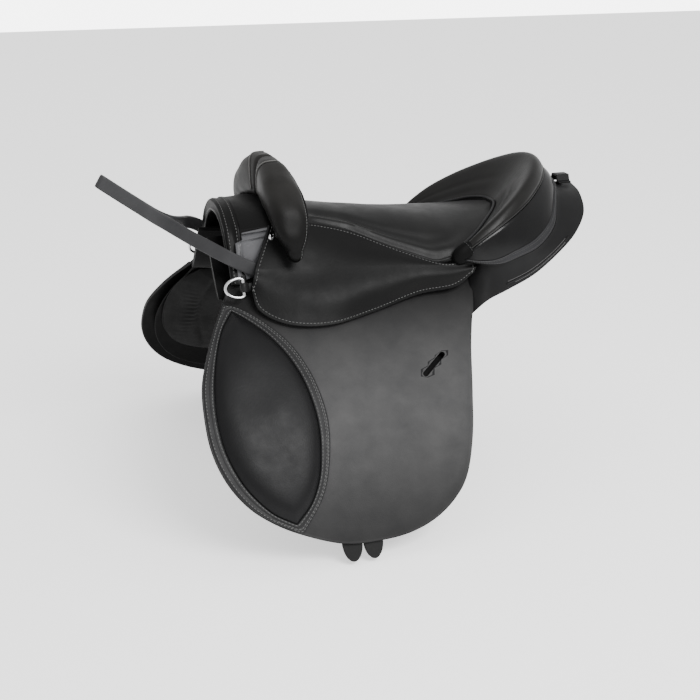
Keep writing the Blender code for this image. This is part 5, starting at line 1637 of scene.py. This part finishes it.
def make_cantle_wall():
    """The wall under the roll, the stitched band at its foot, their
    pipings, and the welt beside the seat."""
    welt, _, seam, low = cantle_lines()
    top = seam - (0, 0, 0.0012)
    push = outward_push(low, top)
    q = ticks(0.05, 0.0022, 0.0012)[None, :, None]
    bow = 0.003 * np.sin(math.pi * q) * np.sin(np.linspace(0.1, math.pi - 0.1, len(low)))[:, None, None]
    wall = top[:, None] + (low - top)[:, None] * q + push[:, None] * (bow - 0.0016 * bell(q, 0.05))
    slab("cantle_wall_hide", wall, WALL_T, np.broadcast_to(push[:, None], wall.shape),
         "polished_hide", "saddle", ["cantle_wall"], lip=0.0012)
    seam_line = even(seam[3:-3] + push[3:-3] * 0.0002 - (0, 0, 0.0002), 0.0022)
    piping("cantle_seam_piping", seam_line, 0.0009, "piping_hide", "saddle", sides=8)
    share = BAND_H * (1 - ticks(0.011, 0.0011, 0.0009))[None, :, None]
    bow = 0.0006 * np.sin(math.pi * share / BAND_H)
    band = low[:, None] + (top - low)[:, None] * share + push[:, None] * (0.0019 + bow)
    slab("cantle_band_hide", band, 0.0015, np.broadcast_to(push[:, None], band.shape), "band_hide",
         "saddle", ["cantle_band"], lip=0.0007)
    paths = (low + (top - low) * BAND_H * f + push * 0.0027 for f in (0.28, 0.72))
    thread("cantle_band_thread", [(path[3:-3], push[3:-3]) for path in paths], "saddle",
           "dark_thread", pitch=0.0034)
    edge = even(low[2:-2] + push[2:-2] * 0.0016, 0.0022)
    piping("cantle_band_edge", edge, 0.001, "seat_leather", "saddle", sides=8)
    gusset = np.stack([welt[4:-4] + (-0.003 - 0.0012 * k, 0, 0.0006 - 0.0032 * k)
                       for k in range(5)], 1)
    slab("seat_gusset", gusset, 0.0008, (-1, 0, 0), "lining_hide", "saddle", lip=0.0003)
    cord = even(welt[4:-4] + (-0.0012, 0, 0.002), 0.002)
    piping("seat_welt_cord", cord, 0.0019, "border_hide", "saddle", ["seat_welt"], sides=10)


make_cantle_wall()


REAR_INNER = WALL_LOW[:6] + ((0.152, 0.1115, 0.033), (0.136, 0.105, 0.032), (0.122, 0.092, 0.022))
REAR_OUTER = REAR_LOW[:6] + ((0.168, 0.1125, 0.0015), (0.138, 0.1185, -0.0075),
                             (0.114, 0.1175, -0.025))


def rear_skirt_grid(side):
    """From under the wall's foot out to the free edge, middle first;
    its last part goes in under the flap."""
    inner, outer = spline(REAR_INNER, 400), spline(REAR_OUTER, 400)
    share = np.linspace(0, 399, len(even(inner, 0.0026)))
    start, rear = (sampled(share, np.arange(400), line) for line in (inner, outer))
    q = -0.16 + 1.16 * ticks(0.045, 0.0025, 0.001)
    grid = start[:, None] + (rear - start)[:, None] * q[None, :, None]
    grid[:, :, 2] -= 0.0035 * np.clip((q[None] + 0.05) / 0.15, 0.2, 1)
    grid[0, :, 1] = 0.0008
    return grid * (1, side, 1)


def make_rear_skirts():
    """Each rear skirt with a ridge between two short stitched rows beside the flap."""
    for label, side in SIDES:
        grid = rear_skirt_grid(side)
        hint = (0.3, side * 0.5, 0.8)
        slab(f"rear_skirt_hide_{label}", grid, REAR_T, hint, "rear_hide", "saddle",
             [f"rear_skirt_{label}"], lip=0.001, free=(0, 1, 0, 1), crease=0.0003)
        rows = [inset_row(grid, inset, hint, a, b)
                for inset, a, b in ((0.0105, 0.42, 0.74), (0.0055, 0.44, 0.72))]
        thread(f"rear_skirt_thread_{label}", rows, "saddle", pitch=0.003)
        line, _ = inset_row(grid, 0.008, hint, 0.41, 0.75)
        piping(f"rear_skirt_ridge_{label}", line, 0.0011, "rear_hide", "saddle", sides=8)


make_rear_skirts()

# %% [markdown]
# ## Small pieces
# The holding strap is one leather with rounded edges: a limb runs forward from a screw on each
# side, and the two come together ahead of the pommel. The D-ring is bent from round wire, and
# the chape is a folded leather that holds its straight side. The nails are domed caps.

# %% Holding strap
STRAP_W, STRAP_T = 0.016, 0.004
STRAP_PIVOT = (-0.135, 0.083, 0.0405)
STRAP_PATH = (
    (-0.126, 0.083, 0.035), (-0.135, 0.083, 0.0405), (-0.148, 0.083, 0.0465),
    (-0.164, 0.083, 0.055), (-0.1802, 0.0805, 0.0643), (-0.1942, 0.067, 0.0714),
    (-0.2071, 0.046, 0.0767), (-0.2202, 0.025, 0.083), (-0.2317, 0.0125, 0.0896),
    (-0.2453, 0.0058, 0.0982), (-0.262, 0.0036, 0.1104), (-0.2843, 0.0032, 0.127),
    (-0.3045, 0.0032, 0.1423), (-0.3058, 0.0028, 0.1433), (-0.3067, 0.0016, 0.144),
    (-0.307, 0.0000, 0.1442),
)


def strap_frames():
    """The strap's middle line, with its wide and thick directions at each point."""
    path = spline(STRAP_PATH, 271)
    path = even(np.vstack([path, (path * (1, -1, 1))[-2::-1]]), 0.0011)
    run = unit(np.gradient(path, axis=0))
    slope = np.array(STRAP_PATH[-1]) - STRAP_PATH[1]
    plane = unit(np.cross((0, 1.0, 0), slope * (1, 0, 1)))
    wide = unit(plane - run * (run @ plane)[:, None])
    return path, wide, np.cross(run, wide)


def strap_section(count=36):
    """A flat bar with softened corners: a super-ellipse with a high power."""
    t = full_turn(count)
    c, s = np.cos(t), np.sin(t)
    return np.stack([np.sign(c) * np.abs(c) ** 0.28, np.sign(s) * np.abs(s) ** 0.42], -1) / 2


def make_strap():
    """The strap's section set square to its middle line at every point."""
    path, wide, thick = (v[:, None] for v in strap_frames())
    section = strap_section()[None]
    rings = path + wide * (section[..., :1] * STRAP_W) + thick * (section[..., 1:] * STRAP_T)
    ring_solid("holding_strap_hide", rings, "strap_hide", "holding_strap", ["holding_strap"], 50)


make_strap()


# %% Nails, screws and D-rings
def dome(name, point, normal, radius, height, finish, stands_for):
    """A round cap: rings of shrinking radius rising as a quarter ellipse, on a short skirt."""
    a = unit(np.cross(normal, (1.0, 0.1, 0)))
    turn = full_turn(40)[:, None]
    circle = np.cos(turn) * a + np.sin(turn) * np.cross(normal, a)
    lift = np.linspace(0, math.pi / 2 - 0.06, 12)
    levels = [(0.4, 0.0), (0.96, 0.0),
              (1.0, 0.0002)] + [(math.cos(t), 0.0004 + height * math.sin(t)) for t in lift]
    rings = [point + circle * radius * r + normal * h for r, h in levels]
    ring_solid(name, rings, finish, "saddle", [stands_for], 50)


def make_nails():
    """A chrome nail at each skirt's upper front corner, and a screw on each side of the strap."""
    seam, nxt = (np.array(SEAM_LINE[k]) + SEAM_LAP for k in (0, 1))
    down, across = unit(BEND_FRONT - seam), unit(nxt - seam)
    out = np.cross(across, down)
    out = unit(out * np.sign(out[1]))
    at = seam + down * 0.014 + across * 0.006 + out * 0.0026
    for label, side in SIDES:
        mirror = (1, side, 1)
        dome(f"nail_cap_{label}", at * mirror, out * mirror, 0.0042, 0.0023, "chrome_plate",
             f"saddle_nail_{label}")
        screw = np.array((STRAP_PIVOT[0], side * (STRAP_PIVOT[1] + STRAP_T / 2 + 0.0004),
                          STRAP_PIVOT[2]))
        dome(f"strap_screw_cap_{label}", screw, np.array((0, side, 0.0)), 0.0028, 0.0013,
             "forged_steel", f"strap_screw_{label}")




make_nails()

RING_WIRE = 0.0034
RING_BAR = ((-0.1635, 0.0955, 0.0405), (-0.1635, 0.1015, 0.019))
RING_REACH = 0.0215
CHAPE_H, CHAPE_T, CHAPE_TAIL, CHAPE_DROP = 0.011, 0.0022, 0.0187, 0.0064


RING_START = 0.004


def chape_outline():
    """Section of the chape: a loop round the ring's bar that runs on into a flat tail."""
    inner, outer = RING_WIRE / 2 + 0.0004, RING_WIRE / 2 + 0.0004 + CHAPE_T
    turn = np.linspace(math.radians(-60), math.radians(-300), 25)
    loop = np.stack([outer * np.cos(turn), outer * np.sin(turn)], -1)
    tail = np.array([(0.0048, 0.001), (0.0066, -0.003), (CHAPE_TAIL, CHAPE_T * 1.3 - CHAPE_DROP),
                     (CHAPE_TAIL, -CHAPE_DROP), (0.0062, -0.0062), (0.0036, -0.0034)])
    return closed_even(np.vstack([loop, tail]), 0.0007), inner


def make_chape(label, mid, along, out):
    """The chape's section, with the hole for the ring's bar, set
    along the bar with softened rims."""
    flat, inner = chape_outline()
    start = math.atan2(flat[0, 1], flat[0, 0])
    way = np.sign(np.sum(flat[:, 0] * np.roll(flat[:, 1], -1)
                         - np.roll(flat[:, 0], -1) * flat[:, 1]))
    turn = start + way * full_turn(len(flat))
    hole = np.stack([inner * np.cos(turn), inner * np.sin(turn)], -1)
    place = lambda p, h: mid + p[:, :1] * np.array((1.0, 0, 0)) + p[:, 1:] * out + along * h
    soft, high = 0.0005, CHAPE_H / 2
    rings = [place(hole, high), place(grown(flat, -soft), high), place(flat, high - soft),
             place(flat, -high + soft), place(grown(flat, -soft), -high), place(hole, -high)]
    looped(f"chape_{label}", rings, "girth_hide", "saddle", [f"ring_chape_{label}"], 50)


def make_rings():
    """Each D-ring, a straight bar and half an ellipse with softened corners, and its chape."""
    for label, side in SIDES:
        a, b = (np.array(p) * (1, side, 1) for p in RING_BAR)
        along, mid = unit(a - b), (a + b) / 2
        half = np.linalg.norm(a - b) / 2
        ahead = np.array((-1.0, 0, 0))
        arc = [mid + along * half * math.sin(t)
               + ahead * (RING_START + (RING_REACH - RING_START) * math.cos(t))
               for t in np.linspace(math.pi / 2, -math.pi / 2, 41)]
        high, low = mid + along * half * 0.86, mid - along * half * 0.86
        path = even([high, *arc, low, high], 0.0011)[:-1]
        smooth = (np.roll(path, 1, 0) + 2 * path + np.roll(path, -1, 0)) / 4
        piping(f"ring_wire_{label}", smooth, RING_WIRE / 2, "chrome_plate", f"d_ring_{label}",
               [f"d_ring_{label}"], sides=18, closed=True)
        make_chape(label, mid, along, unit(np.cross(along, (1.0, 0, 0))) * side)


make_rings()

# %% Rear loop and bearing panels
PANEL_FRONT, PANEL_REAR = -0.188, 0.296
PANEL_IN, PANEL_OUT, PANEL_DEEP, REAR_LIFT = 0.024, 0.073, 0.026, 0.028
ABOVE_PANEL = (COVER_T, COVER_GAP, FOAM_T, 0.0016, 0.0012, 0.006, 0.0018)


def panel_roof(x, y):
    """The highest the bearing panel may reach under the seat, the tree and the side leathers."""
    depth = sum(ABOVE_PANEL)
    half, edge, high = (np.interp(x, EVEN_X, t) for t in (HALF_WIDE, EDGE_HIGH, MID_HIGH))
    q = np.clip(y / half, 0, 1)
    slope = (high - edge) / half * TOP_ROUND * q ** (TOP_ROUND - 1)
    seat = top_point(x, q)[..., 2] - depth * np.sqrt(1 + slope**2)
    arch = half_arch(FACING_FRONT, 0.0155)
    head = np.interp(y, arch[:, 0], arch[:, 1])
    seat = np.where(x < SEAT_FRONT + 0.004, np.minimum(seat, head - 0.002), seat)
    rise = np.clip((x - 0.165) / 0.075, 0, 1)
    pts = on_barrel(0.0, BARREL[0], PANEL_D, 1)
    wall = np.interp(y, pts[:, 1], pts[:, 2]) + REAR_LIFT * rise * rise * (3 - 2 * rise)
    return np.minimum(wall, np.where(x > 0.178, 0.09, seat))


def make_bearing_panels():
    """The two long cushions beside the gullet: a roof, a round belly below it and two low walls."""
    shares = (0.25, 0.5, 0.75)
    for label, side in SIDES:
        x = PANEL_FRONT + ticks(0.484, 0.0045, 0.002) * (PANEL_REAR - PANEL_FRONT)
        t = (x - PANEL_FRONT) / (PANEL_REAR - PANEL_FRONT)
        ends = np.minimum(1.0, 0.45 + 5.0 * np.minimum(t, 1 - t))
        narrow = PANEL_OUT - 0.03 * np.maximum(0, t - 0.8) / 0.2
        q = np.linspace(0, 1, 26)
        y = PANEL_IN + (narrow - PANEL_IN)[:, None] * q[None]
        xx = np.broadcast_to(x[:, None], y.shape)
        top = panel_roof(xx, y)
        top = np.minimum(top, np.apply_along_axis(smoothed, 0, top, 9) + 0.001)
        belly = (PANEL_DEEP * ends)[:, None] * (0.3 + 0.7 * np.sin(math.pi * q) ** 0.7)[None]
        belly = belly + 0.0006 * np.sin(60 * xx + 90 * y) * np.sin(math.pi * q)[None]
        upper, lower = (np.stack([xx, side * y, z], -1) for z in (top, top - belly))
        bulge = [np.array((0, side * 0.0012 * math.sin(math.pi * f), 0)) for f in shares]
        wall_out = [upper[:, -1:] + (lower[:, -1:] - upper[:, -1:]) * f + push
                    for f, push in zip(shares, bulge)]
        wall_in = [lower[:, :1] + (upper[:, :1] - lower[:, :1]) * f - push
                   for f, push in zip(shares, bulge)]
        rings = np.concatenate([upper, *wall_out, lower[:, ::-1], *wall_in], 1)
        cushion = ring_solid(f"panel_hide_{label}", rings, "lining_hide", "saddle",
                             [f"panel_{label}"], 70)
        for key, line in (("inner", lower[:, 0]), ("outer", lower[:, -1])):
            piping(f"panel_piping_{key}_{label}", even(line[4:-4], 0.003), 0.0012, "lining_hide",
                   "saddle", sides=8)


make_bearing_panels()
LOOP_OUTLINE = (
    (-0.014, 0.0), (-0.014, 0.0022), (-0.01, 0.003), (-0.007, 0.0105), (0.007, 0.0105),
    (0.01, 0.003), (0.014, 0.0022), (0.014, 0.0), (0.0075, 0.0), (0.005, 0.0082), (-0.005, 0.0082),
    (-0.0075, 0.0),
)
LOOP_X, LOOP_Z, LOOP_HALF = 0.292, 0.1022, 0.009


def make_loop():
    """The rear loop: its outline, softened, carried along the
    saddle and closed by two flat caps."""
    flat = closed_even(LOOP_OUTLINE, 0.0006)
    flat = (np.roll(flat, 1, 0) + flat + np.roll(flat, -1, 0)) / 3
    place = lambda p, h: np.stack([np.full(len(p), LOOP_X + h), p[:, 0], LOOP_Z + p[:, 1]], -1)
    soft = 0.0004
    rings = [place(grown(flat, -soft), LOOP_HALF), place(flat, LOOP_HALF - soft),
             place(flat, -LOOP_HALF + soft), place(grown(flat, -soft), -LOOP_HALF)]
    count = len(flat)
    caps = [np.arange(count)[None], (np.arange(count)[::-1] + 3 * count)[None]]
    piece("rear_loop_hide", rings, [quads(4, count, wrap_columns=True), *caps], "rear_hide",
          "saddle", ["rear_loop"], 40)


make_loop()

# %% [markdown]
# ## Floor and light
# A plain pale floor lies just under the girth straps, inside a white tent: the world, which is
# dim as a light and bright where the camera sees it. One broad key lamp stands above and in
# front, and a larger lamp overhead draws the highlight along the seat and the cantle.

# %% Floor
FLOOR_SIZE, FLOOR_LEVEL, FLOOR_GLOW = 6.0, -0.246, 0.8
WHITE = (1.0, 1.0, 1.0, 1.0)


def make_floor():
    """A thin square slab of pale paper that glows a little, as paper lit from below does."""
    into, coords, tree = new_finish("paper_floor")
    fibre = noise(tree, coords, 90, 4, 0.6)
    tree.links.new(mixed(tree, fibre, (0.86, 0.86, 0.86), (0.9, 0.9, 0.9)), into["Base Color"])
    tree.links.new(remap(tree, fibre, 0, 1, 0.75, 0.9), into["Roughness"])
    into["Emission Color"].default_value = WHITE
    into["Emission Strength"].default_value = FLOOR_GLOW
    square = ((-1, -1), (1, -1), (1, 1), (-1, 1))
    verts = np.array([(x, y, z) for z in (0, -0.01) for x, y in square]) * (FLOOR_SIZE, FLOOR_SIZE, 1)
    faces = np.array([(0, 1, 2, 3), (7, 6, 5, 4), (0, 4, 5, 1), (1, 5, 6, 2), (2, 6, 7, 3),
                      (3, 7, 4, 0)])
    piece("floor", verts + (0, 0, FLOOR_LEVEL), [faces], "paper_floor", None)


make_floor()


# %% Lights
def area_light(name, place, aim, width, height, power):
    """A rectangular lamp at a place, facing a point."""
    data = bpy.data.lights.new(name, "AREA")
    data.shape = "RECTANGLE"
    data.size, data.size_y, data.energy = width, height, power
    lamp = bpy.data.objects.new(name, data)
    back = unit(np.array(place, float) - np.array(aim, float))
    right = unit(np.cross((0, 0, 1.0), back))
    set_in_scene(lamp, (right, np.cross(back, right), back), place)


TENT_LIGHT, TENT_SEEN = 1.2, 6.0


def make_lights():
    """The tent, whose strength depends on whether the camera looks at it, and the two lamps."""
    world = bpy.data.worlds.new("tent")
    bpy.context.scene.world = world
    world.use_nodes = True
    tree = world.node_tree
    ground = tree.nodes["Background"].inputs
    ground["Color"].default_value = WHITE
    seen = tree.nodes.new("ShaderNodeLightPath").outputs["Is Camera Ray"]
    tree.links.new(remap(tree, seen, 0, 1, TENT_LIGHT, TENT_SEEN), ground["Strength"])
    area_light("key", (0.6, -1.9, 1.7), (0, 0, -0.05), 1.4, 1.0, 80)
    area_light("overhead", (0.0, 0.2, 3.0), (0, 0.2, 0), 5.0, 5.0, 300)


make_lights()
